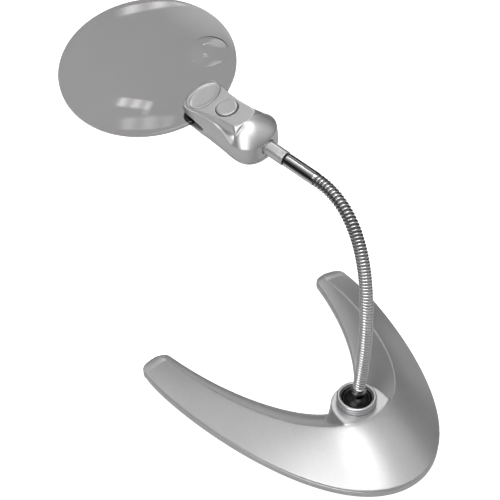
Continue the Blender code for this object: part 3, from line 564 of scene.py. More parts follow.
def screw_head(name, place, radius, node, body):
    """Cross-recessed pan head; place(x, y, z) maps points with +z out of the hole."""
    profile = [(0, -3.0), (radius * 0.5, -3.0), (radius * 0.5, -0.9), (radius, -0.9),
               (radius, -0.25), (radius * 0.75, 0.0), (0, 0.0)]
    screw = make(name, lathe(round_profile(profile, 0.18, 3), 32), ZINC)
    for angle in (math.radians(20), math.radians(110)):
        cosine, sine = math.cos(angle), math.sin(angle)
        wide, long = radius * 0.13, radius * 0.62

        def slot_ring(size, z):
            corners = ((-long * size, -wide * size), (long * size, -wide * size),
                       (long * size, wide * size), (-long * size, wide * size))
            return [Vector((cosine * x - sine * y, sine * x + cosine * y, z))
                    for x, y in corners]
        cut(screw, loft([slot_ring(0.55, -0.75), slot_ring(1.0, 0.3)]))
    for vert in screw.data.vertices:
        point = vert.co * 1000
        vert.co = place(point.x, point.y, point.z) * 0.001
    recalc_normals(screw.data)
    reshade(screw)
    finish(screw, body, "fastener_steel", node)


def bernstein(part):
    rest = 1 - part
    return rest ** 3, 3 * rest * rest * part, 3 * rest * part * part, part ** 3


# ====================================================================== base
def plan_curve(controls, part):
    weights = bernstein(part)
    return Vector([sum(w * point[axis] for w, point in zip(weights, controls))
                   for axis in (0, 1)])


def crest_z(part):
    """Crest height, blended softly into the flat ledge."""
    rest = 1 - part
    z = CREST_Z[0] * rest * rest + 2 * CREST_Z[1] * rest * part + CREST_Z[2] * part * part
    if abs(z - LEDGE_Z) >= 6:
        return min(z, LEDGE_Z)
    blend = 0.35
    return -blend * math.log(math.exp(-z / blend) + math.exp(-LEDGE_Z / blend))


def station(place):
    """Outer, crest and inner plan points and the crest height; place runs from 0 to 1
    along an arm and on to 2 round its tip."""
    part = min(place, 1.0)
    outer, crest, inner = (plan_curve(curve, part) for curve in (OUTER, CREST, INNER))
    z = crest_z(part)
    if place > 1.0:
        tip = place - 1.0
        middle, half = (outer + inner) / 2, (outer - inner) / 2
        ahead = Vector((-half.y, half.x)).normalized()
        if ahead.y < 0:
            ahead = -ahead
        share = (crest - inner).length / (outer - inner).length
        width = (1 - tip ** TIP_POWER) ** (1 / TIP_POWER)
        outer = middle + half * width + ahead * (TIP_REACH * tip)
        inner = middle - half * width + ahead * (TIP_REACH * tip)
        crest = inner.lerp(outer, share)
        z = COVER_Z + LIP + (z - COVER_Z - LIP) * (1 - tip ** 2.2)
    return outer, crest, inner, z


ARM = [i / 70 for i in range(1, 71)]
ARM += [1 + 0.985 * math.sin(math.pi / 2 * i / 14) for i in range(1, 15)]
BASE_STATIONS = [(-1, k) for k in reversed(ARM)] + [(1, 0.0)] + [(1, k) for k in ARM]


def base_loft(section):
    """Loft of a cross-section from the -x tip round to the +x tip."""
    return loft([[Vector((side * p[0], p[1], p[2])) for p in section(*station(place))]
                 for side, place in BASE_STATIONS])


def cover_section(outer, crest, inner, crest_height):
    points = [(outer.x, outer.y, COVER_Z)]
    for k in range(19):
        share = k / 18
        spot = outer.lerp(crest, share)
        rise = (crest_height - COVER_Z - LIP) * (1 - (1 - share) ** 1.18)
        points.append((spot.x, spot.y, COVER_Z + LIP + rise))
    low = COVER_Z + 0.5
    for k in range(1, 15):
        share = k / 14
        spot = crest.lerp(inner, share)
        z = low + (crest_height - low) * (1 - share) ** 1.55
        points.append((spot.x, spot.y, z))
    points.append((inner.x, inner.y, COVER_Z))
    return points


def boss_outline(half, back, inset, arc_steps=40, crest_steps=24):
    """Plan of the boss: the crest line moved by inset towards +y, then a half circle."""
    low, high = 0.0, 0.3
    for _ in range(40):
        middle = (low + high) / 2
        if plan_curve(CREST, middle).x < half:
            low = middle
        else:
            high = middle
    edge = [plan_curve(CREST, low * k / crest_steps) for k in range(crest_steps + 1)]
    edge = [(point.x, point.y + inset) for point in edge]
    points = [(-x, y) for x, y in reversed(edge[1:])] + edge
    for k in range(arc_steps + 1):
        angle = math.pi * k / arc_steps
        points.append((half * math.cos(angle), back - half + half * math.sin(angle)))
    return points


BOSS_LEVELS = (  # share of the height, flare
    (0.0, 4.2), (0.12, 3.0), (0.28, 2.0), (0.48, 1.2), (0.7, 0.55), (0.88, 0.15), (1.0, 0.0),
)


def build_cover():
    cover = make("base_cover_skin", base_loft(cover_section), PAINT)
    rows = []
    for share, flare in BOSS_LEVELS:
        z = COVER_Z - 0.07 + (LEDGE_Z - COVER_Z + 0.07) * share
        outline = boss_outline(BOSS_HALF + flare, BOSS_BACK + flare * 0.8,
                               0.25 + 1.25 * (1 - share))
        rows.append([Vector((x, y, z)) for x, y in outline])
    join(cover, loft(rows))
    soften(cover, voxel=0.55, passes=4, snap=0.16)
    cut(cover, lathe(rod(12.15, 9.0, 30.0), 64))
    reshade(cover, 40)
    finish(cover, "base", "silver_paint", "base_cover")


BAND_EDGE = (  # inset from the outline, height
    (2.0, PLATE_BOTTOM), (0.95, PLATE_BOTTOM), (0.55, PLATE_BOTTOM + 0.12),
    (0.32, PLATE_BOTTOM + 0.42), (0.25, PLATE_BOTTOM + 0.9), (0.2, 3.0),
    (0.25, PLATE_TOP - 0.7), (0.34, PLATE_TOP - 0.3), (0.6, PLATE_TOP - 0.05),
    (0.95, PLATE_TOP), (1.6, PLATE_TOP),
)


def band_section(outer, _crest, inner, _crest_height):
    """Section of the base plate, with the same eased edge on both sides."""
    across = (inner - outer).normalized()
    rows = []
    for edge, sign in ((outer, 1), (inner, -1)):
        spots = [(edge + across * (sign * inset), z) for inset, z in BAND_EDGE]
        rows.append([(spot.x, spot.y, z) for spot, z in spots])
    return rows[0] + rows[1][::-1]


def screw_places():
    places = []
    for side in (-1, 1):
        for place, share in SCREW_STATIONS:
            outer, crest, _, _ = station(place)
            spot = outer.lerp(crest, share)
            places.append((side * spot.x, spot.y))
    return places


def build_plate():
    plate = make("base_plate_skin", base_loft(band_section), PAINT)
    for x, y in screw_places():
        hole = [(0, -1), (3.3, -1), (3.1, 2.6), (0, 2.6)]
        cut(plate, lathe(hole, 32, base_frame(x, y)))
    for _, x, y, radius in FEET:
        hole = [(0, -1), (radius + 0.35, -1), (radius + 0.3, 1.7), (0, 1.7)]
        cut(plate, lathe(hole, 48, base_frame(x, y)))
    reshade(plate, 30)
    finish(plate, "base", "silver_paint", "base_plate")


def build_feet():
    for name, x, y, radius in FEET:
        profile = [(0, 0.0), (radius - 1.6, 0.0), (radius - 1.5, 0.12), (radius - 0.9, 0.12),
                   (radius - 0.8, 0.0), (radius - 0.1, 0.0), (radius, 1.4), (0, 1.4)]
        shape = lathe(round_profile(profile, 0.12, 2), 48, base_frame(x, y))
        finish(make(name + "_pad", shape, RUBBER), "base", "foot_rubber", name)


def build_base_screws():
    for number, at in enumerate(screw_places(), 1):
        screw_head("base_screw_head_%d" % number,
                   lambda x, y, z: Vector((at[0] + x, at[1] - y, SCREW_SINK - z)),
                   2.8, "base_screw_%d" % number, "base")


def build_collar():
    """Turned ring with a rolled rim and a fine groove; its bore clears the ball."""
    seam = LEDGE_Z + 0.38 * (RING_TOP - LEDGE_Z)
    ring = [
        (RING_R - 0.5, LEDGE_Z + 0.05), (RING_R - 0.5, LEDGE_Z + 0.35),
        (RING_R - 0.15, LEDGE_Z + 0.5), (RING_R - 0.1, seam - 0.3),
        (RING_R - 0.5, seam - 0.2), (RING_R - 0.5, seam + 0.2),
        (RING_R, seam + 0.3), (RING_R, RING_TOP - 1.5),
    ]
    rim = 1.3
    for k in range(11):
        angle = math.pi * k / 10
        ring.append((RING_R - rim + rim * math.cos(angle),
                     RING_TOP - rim + rim * math.sin(angle)))
    ring += [(RING_HOLE + 0.35, RING_TOP - 1.2), (RING_HOLE, RING_TOP - 1.6),
             (RING_HOLE, 30.1)]
    for z in (29.2, 28.2, 27.0, 25.8):
        ring.append((math.sqrt((BALL_R + 0.4) ** 2 - (z - BALL_Z) ** 2), z))
    ring += [(11.0, BALL_Z), (11.0, 21.2), (11.8, 21.2), (11.8, LEDGE_Z + 0.05)]
    collar = make("collar_ring_turned", lathe(ring, 96), SATIN, 24)
    finish(collar, "base", "satin_metal", "collar_ring")


# ============================================================ stem and neck
def build_ball():
    profile = [(0, -BALL_R)]
    for k in range(1, 49):
        angle = math.radians(180 - 3.3 * k)
        radius, z = BALL_R * math.sin(angle), BALL_R * math.cos(angle)
        if z < BALL_FLAT - 0.05:
            profile.append((radius, z))
    profile += [(math.sqrt(BALL_R ** 2 - BALL_FLAT ** 2), BALL_FLAT), (BORE_R, BALL_FLAT),
                (BORE_R, -6.0), (0, -6.0)]
    ball = make("pivot_ball_turned", lathe(profile, 96, STEM_FRAME), BALL_BLACK)
    finish(ball, "stem", "black_plastic", "pivot_ball")


def build_lower_ferrule():
    start, end = FERRULE_START, FERRULE_END
    profile = [
        (BORE_R, start - 0.1), (4.15, start - 0.1), (FERRULE_R, start + 0.5),
        (FERRULE_R, start + 4.6), (4.3, start + 4.9), (4.3, start + 5.3),
        (FERRULE_R - 0.1, start + 5.6), (FERRULE_R - 0.1, end - 0.4),
        (4.0, end + 0.1), (BORE_R, end + 0.1),
    ]
    shape = lathe(round_profile(profile, 0.25, 3), 64, STEM_FRAME)
    finish(make("lower_ferrule_turned", shape, CHROME), "stem", "chrome", "lower_ferrule")


NECK_FOOT = BALL + STEM_AXIS * NECK_START
NECK_TOP = JOINT - HEAD_Y * TOP_FERRULE_LENGTH
NECK = (NECK_FOOT, NECK_FOOT + STEM_AXIS * NECK_PULL_LOW,
        NECK_TOP - HEAD_Y * NECK_PULL_HIGH, NECK_TOP)


def neck_curve(part):
    return sum((point * w for point, w in zip(NECK, bernstein(part))), Vector((0, 0, 0)))


NECK_POINTS = [neck_curve(i / NECK_STEPS) for i in range(NECK_STEPS + 1)]
NECK_LENGTHS = [0.0]  # distance along the neck at each point
for start, end in zip(NECK_POINTS, NECK_POINTS[1:]):
    NECK_LENGTHS.append(NECK_LENGTHS[-1] + (end - start).length)
NECK_LENGTH = NECK_LENGTHS[-1]


def neck_at(distance):
    """Point on the neck's centre line and two axes square to it."""
    distance = min(max(distance, 0.0), NECK_LENGTH)
    i = min(int(np.searchsorted(NECK_LENGTHS, distance, side="right")) - 1, NECK_STEPS - 1)
    share = (distance - NECK_LENGTHS[i]) / (NECK_LENGTHS[i + 1] - NECK_LENGTHS[i])
    part = (i + share) / NECK_STEPS
    nudge = 1e-3
    before, after = neck_curve(max(part - nudge, 0)), neck_curve(min(part + nudge, 1))
    tangent = (after - before).normalized()
    side = (SIDEWAYS - tangent * SIDEWAYS.dot(tangent)).normalized()
    point = NECK_POINTS[i].lerp(NECK_POINTS[i + 1], share)
    return point, side, side.cross(tangent).normalized()


def coil_radius(phase):
    """Outside over one pitch: a round wire, with a low triangular filler in the groove."""
    turn = phase - math.floor(phase)
    x = (turn - 0.5) / 0.36
    wire = WIRE_BASE_R + WIRE_RISE * math.sqrt(max(1 - x * x, 0))
    filler = WIRE_BASE_R + 0.06 * max(0, 1 - min(turn, 1 - turn) / 0.15)
    return max(wire, filler)


def coil_piece(name, start, end):
    """Length of wound tube between two distances along the neck."""
    count = COIL_SEGMENTS
    outer_rows = max(2, int(round((end - start) / PITCH * ROWS_PER_PITCH)))
    inner_rows = max(2, int(round((end - start) / 1.6)))
    verts, faces = [], []

    def add_ring(distance, radius_at):
        point, side, other = neck_at(distance)
        for k in range(count):
            angle, radius = 2 * math.pi * k / count, radius_at(k)
            spot = point + side * (radius * math.cos(angle))
            verts.append(spot + other * (radius * math.sin(angle)))

    for i in range(outer_rows + 1):
        distance = start + (end - start) * i / outer_rows
        add_ring(distance, lambda k: coil_radius(distance / PITCH - k / count))
    for i in range(inner_rows + 1):
        add_ring(end + (start - end) * i / inner_rows, lambda k: COIL_BORE)
    total = outer_rows + inner_rows + 2
    for i in range(total):
        row, after = i * count, (i + 1) % total * count
        for k in range(count):
            turn = (k + 1) % count
            faces.append((row + k, row + turn, after + turn, after + k))
    coil = make(name, (verts, faces), COIL, 60)
    # second material for the groove faces: darker colour as painted shade between the turns
    coil.data.materials.append(GROOVE_SHADE)
    for face in coil.data.polygons:
        row, k = divmod(face.index, count)
        distance = start + (end - start) * (row + 0.5) / outer_rows
        radius = coil_radius(distance / PITCH - (k + 0.5) / count)
        if row < outer_rows and radius < SHADED_GROOVE_R:
            face.material_index = 1
    return coil


def build_neck():
    """Coil cut at the middle of each section, so that every bend piece runs across two sections.
    """
    first = (FERRULE_END + GAP) - NECK_START
    step = (NECK_LENGTH - GAP - first) / SECTIONS
    ends = [first + step * i for i in range(SECTIONS + 1)]
    middles = [(low + high) / 2 for low, high in zip(ends, ends[1:])]
    root = coil_piece("coil_root", first - 0.9, middles[0])
    finish(root, "stem", "chrome", "neck_section_1")
    for i in range(SECTIONS - 1):
        bend = coil_piece("coil_bend_%d" % (i + 1), middles[i], middles[i + 1])
        if i < SECTIONS - 2:
            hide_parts("neck_section_%d" % (i + 2))
        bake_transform(bend)
    top = coil_piece("coil_top", middles[-1], NECK_LENGTH + 0.8)
    finish(top, "neck_top", "chrome", "neck_section_8")


def build_roll_joint():
    """Upper ferrule, washer and head sleeve, all turned about the roll axis."""
    low = -TOP_FERRULE_LENGTH
    profile = [(2.9, low - 0.2), (3.5, low - 0.2), (TOP_FERRULE_R, low + 1.1),
               (TOP_FERRULE_R, -1.35), (3.8, -1.1), (2.9, -1.1)]
    shape = lathe(round_profile(profile, 0.3, 4), 64, ROLL_FRAME)
    ferrule = make("upper_ferrule_turned", shape, CHROME)
    finish(ferrule, "neck_top", "chrome", "upper_ferrule")
    profile = [(2.9, -1.0), (3.75, -1.0), (3.75, -0.25), (2.9, -0.25)]
    shape = lathe(round_profile(profile, 0.12, 3), 48, ROLL_FRAME)
    washer = make("roll_washer_ring", shape, BLACK)
    finish(washer, "neck_top", "black_plastic", "roll_washer")
    profile = [(2.95, 0.0), (4.1, 0.0), (SLEEVE_R, 0.35), (SLEEVE_R, 20.3), (3.7, 20.3),
               (3.7, 15.0), (2.95, 15.0)]
    shape = lathe(round_profile(profile, 0.2, 3), 64, ROLL_FRAME)
    sleeve = make("neck_sleeve_turned", shape, HEAD_PAINT)
    finish(sleeve, "head", "head_plastic", "neck_sleeve")


# ====================================================================== head
def smooth(start, end, x):
    x = min(max((x - start) / (end - start), 0), 1)
    return x * x * (3 - 2 * x)


def interpolate(rows, y):
    """Cubic interpolation through (y, value) rows, level at peaks."""
    if y <= rows[0][0]:
        return rows[0][1]
    if y >= rows[-1][0]:
        return rows[-1][1]
    slopes = [(b[1] - a[1]) / (b[0] - a[0]) for a, b in zip(rows, rows[1:])]
    inner = [0.0 if a * b <= 0 else 2 * a * b / (a + b) for a, b in zip(slopes, slopes[1:])]
    tangents = [slopes[0]] + inner + [slopes[-1]]
    i = next(i for i in range(len(slopes)) if y <= rows[i + 1][0])
    (y0, low), (y1, high) = rows[i], rows[i + 1]
    span = y1 - y0
    x = (y - y0) / span
    bend = tangents[i] * x * (1 - x) ** 2 - tangents[i + 1] * x * x * (1 - x)
    return low * (1 + 2 * x) * (1 - x) ** 2 + high * x * x * (3 - 2 * x) + span * bend


def end_curve(y, full, start, end, power):
    """Falls from full at start to nothing at end, as a superellipse."""
    return full * max(1 - ((y - start) / (end - start)) ** power, 0) ** (1 / power)


def half_width(y):
    """Widest half-width of the housing, just below the lens level."""
    if y < 26:
        return end_curve(-y, REAR_HALF, -26, -REAR_Y, 2.4)
    if y > 61:
        return end_curve(y, FRONT_HALF, 61, FRONT_Y, 3.2)
    return REAR_HALF - 1.2 * smooth(26, 42, y) + 1.0 * smooth(46, 58, y)


def low_half(y):
    """Half-width at the bottom edge, tucked in towards the lens end."""
    return half_width(y) * (1 - 0.015 - 0.14 * smooth(40, 64, y))


def plate_z(y):
    return PLATE_Z + PLATE_RISE * (OVAL_Y - y)


def plate_half(y):
    if y <= PLATE_REAR:
        return 0.0
    if y < 34.5:
        return end_curve(-y, PLATE_HALF, -34.5, -PLATE_REAR, 2.2)
    width = PLATE_HALF + 4.3 * max((min(y, OVAL_Y) - 40) / 26, 0) ** 1.45
    return width if y <= OVAL_Y else end_curve(y, width, OVAL_Y, FRONT_Y, 2.2)


WALL_HEIGHT = (  # y, height of the side wall's upper edge
    (13, 5.5), (20, 5.6), (26, 5.2), (29, 4.7), (34, 5.1), (39, 5.7), (46, 6.8),
    (54, 7.0), (60, 7.2), (64, 7.3), (72, 6.6),
)
WALL_SHARE = (  # y, that edge's half-width as a share of the housing's
    (13, 0.975), (24, 0.975), (29, 0.955), (34, 0.885), (39, 0.80), (46, 0.76),
    (54, 0.745), (60, 0.80), (64, 0.85), (72, 0.9),
)


def top_z(y):
    if y >= PLATE_REAR:
        return plate_z(y)
    back = (PLATE_REAR - y) / (PLATE_REAR - REAR_Y)
    return 5.6 + (plate_z(PLATE_REAR) - 5.6) * max(1 - back ** 1.5, 0) ** 0.9


def mirrored(half):
    return [(-x, z) for x, z in half] + [(x, z) for x, z in reversed(half)]


def head_section(y, curve_steps=26, flat_steps=10):
    """Closed outline of the upper shell: scoops beside the flat plate, a dome behind it."""
    width, low, plate, top = half_width(y), low_half(y), plate_half(y), top_z(y)
    wall_x, wall_z = half_width(y) * interpolate(WALL_SHARE, y), interpolate(WALL_HEIGHT, y)
    half = [
        (low + (width - low) * 0.3, SEAM_Z), (low + (width - low) * 0.75, -3.6),
        (width, -1.4), (width + (wall_x - width) * 0.45, -1.4 + (wall_z + 1.4) * 0.55),
        (wall_x, wall_z),
    ]
    power = 1.0 + 0.12 * min(plate / PLATE_HALF, 1)
    first = 0.85  # angle at which the dome leaves the wall, radians
    for k in range(1, curve_steps + 1):
        share = k / curve_steps
        angle = share * math.pi / 2
        dome = first + (math.pi / 2 - first) * share
        across = max(math.cos(dome) / math.cos(first), 0) ** power
        rise = max((math.sin(dome) - math.sin(first)) / (1 - math.sin(first)), 0) ** power
        dome_x = plate + (wall_x - plate) * across
        dome_z = wall_z + (top - wall_z) * rise
        scoop_x = plate + (wall_x - plate) * (1 - math.sin(angle)) ** 1.15
        scoop_z = wall_z + (top - wall_z) * (1 - math.cos(angle)) ** 0.9
        edge = 26.4 + 6.2 * share
        blend = smooth(edge - 0.9, edge + 0.9, y)
        half.append((dome_x + (scoop_x - dome_x) * blend, dome_z + (scoop_z - dome_z) * blend))
    plate = max(plate, 0.12)
    half[-1] = (plate, top)
    for k in range(1, flat_steps):
        half.append((plate * (1 - k / flat_steps), top))
    return mirrored(half)


HEAD_STATIONS = [13.22, 13.4]
HEAD_STATIONS += [REAR_Y + (26.8 - REAR_Y) * (1 - math.cos(math.pi / 2 * i / 24)) + 0.12
                  for i in range(2, 24)]
HEAD_STATIONS += [26.95, 27.15, 27.32, 27.4, 27.55, 27.8, 28.15, 28.6, 29.15, 29.8, 30.5, 31.0]
HEAD_STATIONS += [31.0 + 3.7 * i / 14 for i in range(1, 15)]
HEAD_STATIONS += [34.7 + 26.3 * i / 30 for i in range(1, 31)]
HEAD_STATIONS += [61 + 10.17 * math.sin(math.pi / 2 * i / 20) for i in range(1, 21)]


def head_loft(section):
    return loft([[head_point(x, y, z) for x, z in section(y)] for y in HEAD_STATIONS])


def slab(outline, x0, x1):
    """Prism across the head from a (y, z) outline."""
    return loft([[head_point(x, y, z) for y, z in outline] for x in (x0, x1)])


def lens_profile(grow, rim, steps=24, roll=0.0):
    """Half-section of the biconvex lens, thickened, widened or with an eased rim."""
    radius = LENS_R + rim
    points = []
    for k in range(steps + 1):
        x = radius * k / steps
        z = LENS_EDGE + grow + (LENS_R ** 2 - min(x, LENS_R) ** 2) / (2 * LENS_CURVE)
        points.append((x, z))
    if roll:
        x, z = points[-1]
        points[-1] = (x - roll, z)
        points += [(x - roll * 0.3, z - roll * 0.3), (x, z - roll)]
    return points + [(x, -z) for x, z in reversed(points)]


def oval_row(grow, z, segments=120):
    """Ring round the oval; deep insets shrink it in proportion."""
    stretch = 1.0 if grow > -1.7 else OVAL_HALF_X / OVAL_HALF_Y
    return [plate_point((OVAL_HALF_X + grow * stretch) * math.cos(2 * math.pi * k / segments),
                        (OVAL_HALF_Y + grow) * math.sin(2 * math.pi * k / segments), z)
            for k in range(segments)]


CENTRE_SLOT = (  # (y, z) behind the lens rim, across the whole width
    (50.6, -0.35), (51.6, -1.0), (53.4, -1.45), (56.0, -1.55), (62.0, -1.55),
    (62.0, 1.55), (56.0, 1.55), (53.2, 1.1), (51.4, 0.3),
)
SIDE_SLOT = (  # (y, z) opening towards +y, at both sides
    (52.4, -1.1), (52.6, 0.7), (54.0, 1.4), (57.0, 2.2), (61.5, 3.3), (66.0, 4.5),
    (70.0, 5.1), (73.0, 5.3), (73.0, -1.5), (53.2, -1.5),
)


def slot_cut(shell, shape):
    """Cuts the shell and gives the faces left by the tool black, as painted shade inside the
    slot.
    """
    tool = make("tool", shape)
    tree = BVHTree.FromPolygons([v.co.copy() for v in tool.data.vertices],
                                [tuple(face.vertices) for face in tool.data.polygons])
    boolean(shell, tool)
    for face in shell.data.polygons:
        if face.material_index == 0 and (face.center * 1000 - JOINT).dot(HEAD_Y) > 50.0:
            hit = tree.find_nearest(face.center)
            if hit[3] is not None and hit[3] < 2e-5:
                face.material_index = 1


def build_shell():
    shell = make("head_housing", head_loft(head_section), HEAD_PAINT)
    # box and round pockets from below, button holes, sleeve bore, seat of the oval
    cut(shell, head_box(-8.9, 8.9, 24.0, 50.0, SEAM_Z - 1, 3.9))
    cut(shell, lathe(rod(10.5, SEAM_Z - 1, 0.9), 64, head_frame(0, 33.0)))
    cut(shell, lathe(rod(7.9, -8.0, -1.95), 48, BUTTON_FRAME))
    cut(shell, lathe(rod(BUTTON_R + 0.42, -2.3, 4.0), 96, BUTTON_FRAME))
    cut(shell, lathe(rod(SLEEVE_R + 0.25, 8.0, 20.8), 48, ROLL_FRAME))
    cut(shell, loft([oval_row(0.15, -0.7), oval_row(0.15, 2.0)]))
    soften(shell, voxel=0.3, passes=3, snap=0.10)
    # black for the slot's inner faces: painted shade inside the lens slot
    shell.data.materials.append(BLACK)
    slot_cut(shell, lathe(lens_profile(0.4, 0.8), 96, head_frame(0, LENS_Y)))
    slot_cut(shell, slab(CENTRE_SLOT, -25, 25))
    for side in (-1, 1):
        slot_cut(shell, slab(SIDE_SLOT, side * 9.5, side * 20.0))
    reshade(shell, 42)
    finish(shell, "head", "head_plastic", "head_upper_shell")


OVAL_LEVELS = (  # growth beyond the oval, height: eased rim and very shallow crown
    (-0.05, -0.35), (-0.05, -0.08), (-0.1, 0.08), (-0.22, 0.19), (-0.42, 0.23),
    (-0.65, 0.19), (-1.0, 0.09), (-1.6, 0.02), (-3.2, 0.03), (-5.2, 0.04), (-6.6, 0.04),
)


def build_oval_inlay():
    shape = loft([oval_row(grow, z) for grow, z in OVAL_LEVELS])
    inlay = make("accent_inlay_disc", shape, HEAD_PAINT, 50)
    finish(inlay, "head", "head_plastic", "accent_inlay")


def build_button():
    """Eased cap with a shallow dish and a flange below."""
    profile = [(4.4, -3.9), (7.4, -3.9), (7.4, -3.0), (BUTTON_R, -3.0), (BUTTON_R, 0.75),
               (BUTTON_R - 1.0, 1.0), (0, 0.8), (0, -1.3), (4.4, -1.3)]
    shape = lathe(round_profile(profile, 0.55, 5), 96, BUTTON_FRAME)
    button = make("power_button_cap", shape, BUTTON_PAINT, 40)
    finish(button, "power_button", "button_plastic", "power_button")


def bottom_section(y):
    """Bottom cover, following the housing's outline, with eased lower edges."""
    width, low = half_width(y), low_half(y)
    top = SEAM_Z - 0.25
    edge = low + (width - low) * 0.25
    ease = min(2.2, low * 0.5)
    return mirrored([
        (edge - 0.3, top), (edge, top - 0.3),
        (low + (edge - low) * 0.3, BOTTOM_Z + 1.3), (low - 0.15 * ease, BOTTOM_Z + 0.65),
        (low - 0.4 * ease, BOTTOM_Z + 0.2), (low - 0.8 * ease, BOTTOM_Z),
        (low * 0.5, BOTTOM_Z),
    ])


def build_bottom():
    bottom = make("head_bottom_cover", head_loft(bottom_section), HEAD_PAINT)
    cut(bottom, head_box(-10.5, 10.5, 21.8, DOOR_Y + GAP, -12, 0))
    screw_hole = [(0, -12), (2.35, -12), (2.25, -7.0), (1.4, -7.0), (1.4, 0), (0, 0)]
    for at in HEAD_SCREWS:
        cut(bottom, lathe(screw_hole, 32, head_frame(*at)))
    for at in LEDS:
        cut(bottom, lathe(rod(2.8, -12, 0), 32, head_frame(*at)))
    reshade(bottom, 30)
    finish(bottom, "head", "head_plastic", "head_lower_shell")


def build_door():
    """Battery door with five grooves across its sleeve end and eased edges."""
    shape = head_box(-10.2, 10.2, 22.2, DOOR_Y, BOTTOM_Z, -6.6)
    door = make("battery_door_cover", shape, HEAD_PAINT)
    for k in range(5):
        cut(door, head_box(-6.0, 6.0, 24.2 + 1.5 * k, 24.9 + 1.5 * k, -9.0, BOTTOM_Z + 0.35))
    bevel = door.modifiers.new("bv", "BEVEL")
    bevel.width = 0.00018
    bevel.segments = 3
    bevel.limit_method = "ANGLE"
    bake(door)
    reshade(door, 30)
    finish(door, "battery_door", "head_plastic", "battery_door")


def build_head_screws():
    for number, at in enumerate(HEAD_SCREWS, 1):
        screw_head("head_screw_head_%d" % number,
                   lambda x, y, z: head_point(at[0] + x, at[1] - y, SCREW_HEAD_Z - z),
                   2.0, "head_screw_%d" % number, "head")


def build_leds():
    for name, at in zip(("led_left", "led_right"), LEDS):
        profile = [(0, -9.0)]
        for k in range(1, 9):
            angle = math.pi / 2 * k / 8
            profile.append((LED_R * math.sin(angle), -6.9 - 2.1 * math.cos(angle)))
        profile += [(LED_R, -3.6), (0, -3.6)]
        lamp = make(name + "_lamp", lathe(profile, 40, head_frame(*at)), LED)
        finish(lamp, "head", "led_epoxy", name)


def build_lens():
    """Main lens with a small stronger lens moulded in, and two screw holes."""
    profile = lens_profile(0, 0, roll=0.35)
    lens = make("lens_disc", lathe(profile, 160, head_frame(0, LENS_Y)), LENS, 40)
    off_centre = math.hypot(INSET_AT[0], LENS_Y - INSET_AT[1])
    face_z = LENS_EDGE + (LENS_R ** 2 - off_centre ** 2) / (2 * LENS_CURVE)
    crown_r = INSET_R - 0.35
    cap = [(0, 0.2), (INSET_R, 0.2), (INSET_R, face_z + 0.35), (crown_r, face_z + 0.55)]
    for k in range(1, 15):
        x = crown_r * (1 - k / 15)
        cap.append((x, face_z + 0.55 + 1.75 * (1 - (x / crown_r) ** 2)))
    cap.append((0, face_z + 2.3))
    join(lens, lathe(cap, 72, head_frame(*INSET_AT)))
    for x in (-5.0, 5.0):
        cut(lens, lathe(rod(1.5, -9, 9), 24, head_frame(x, 63.0)))
    reshade(lens, 25)
    finish(lens, "head", "lens_acrylic", "main_lens")


# CAD pieces that stay as they are, with a new finish
KEPT = {
    "base_weight": CAST, "friction_washer": ZINC, "ball_seat": BLACK, "stem_stud": ZINC,
    "roll_spindle": ZINC, "roll_clip": ZINC, "circuit_board": BOARD, "push_switch": BLACK,
    "contact_top": BRASS, "contact_side": BRASS, "coin_cell_1": CELL, "coin_cell_2": CELL,
    "lens_screw_1": ZINC, "lens_screw_2": ZINC,
}


def refinish_kept():
    for name, material in KEPT.items():
        materials = frame["nodes"][name].data.materials
        materials.clear()
        materials.append(material)


# =================================================================== the set
FLOOR_SIZE, FLOOR_GLOW, FLOOR_DIM = 12.0, 0.8, 0.60
# Surroundings: (z of the direction, brightness)
WORLD_RAMP = ((0.0, 0.20), (0.05, 0.06), (0.26, 0.08), (0.45, 0.24), (0.75, 0.34), (1.0, 0.40))
LOBES = (  # direction, inner and outer half-angle in degrees, brightness
    ((-0.07, -0.29, 0.955), 12, 21, 3.6),
    ((-0.74, -0.27, 0.62), 12, 28, 1.9),
    ((0.45, 0.50, 0.73), 6, 14, 2.1),
    ((-0.35, 0.50, 0.78), 10, 34, 0.4),
    ((0.52, -0.48, 0.70), 8, 26, 0.45),
)
PANES = (  # centre, half-length, half-width, turn in degrees, brightness
    ((-0.03, 0.40), 0.068, 0.022, -57, 8.0),
    ((-0.012, 0.345), 0.012, 0.030, -57, 3.0),
    ((-0.055, 0.30), 0.100, 0.036, -41, 3.6),
    ((0.33, 0.86), 0.135, 0.050, -30, 6.0),
)
FILL_AT, FILL_TARGET = Vector((-0.9, -0.5, 0.9)), Vector((0, 0.05, 0.1))
FILL_SIZE, FILL_POWER = 0.9, 2.5
CAMERA_AT = (-0.38275, -0.42432, 0.64002)
CAMERA_RIGHT, CAMERA_AHEAD = (0.8138, -0.5811, 0.0), (0.4395, 0.6155, -0.6542)
SENSOR_WIDTH, FOCAL_LENGTH = 36.0, 97.99


def build_floor():
    """White glowing floor for the camera, a dim diffuse one for all other rays."""
    grid = bmesh.new()
    bmesh.ops.create_grid(grid, x_segments=8, y_segments=8, size=FLOOR_SIZE / 2)
    mesh = bpy.data.meshes.new("floor")
    grid.to_mesh(mesh)
    grid.free()
    floor = bpy.data.objects.new("floor", mesh)
    bpy.context.scene.collection.objects.link(floor)
    material, tree, shader, position = new_material("mat_floor")
    cloud = noise(tree, position, scale=3, detail=2)
    feed(tree, shader, {
        "Base Color": mix_color(tree, cloud, (0.90, 0.90, 0.90), (0.93, 0.93, 0.93)),
        "Roughness": 0.9,
        "Specular IOR Level": 0.0,
    })
    rays = add_node(tree, "LightPath", {})
    glow = add_node(tree, "Emission", {"Strength": FLOOR_GLOW})
    dim = add_node(tree, "BsdfDiffuse", {"Color": (FLOOR_DIM, FLOOR_DIM, FLOOR_DIM, 1)})
    lit = add_node(tree, "AddShader", {0: shader.outputs[0], 1: glow.outputs[0]})
    surface = add_node(tree, "MixShader", {
        0: rays.outputs["Is Camera Ray"], 1: dim.outputs[0], 2: lit.outputs[0]})
    feed(tree, tree.nodes["Material Output"], {"Surface": surface.outputs[0]})
    mesh.materials.append(material)


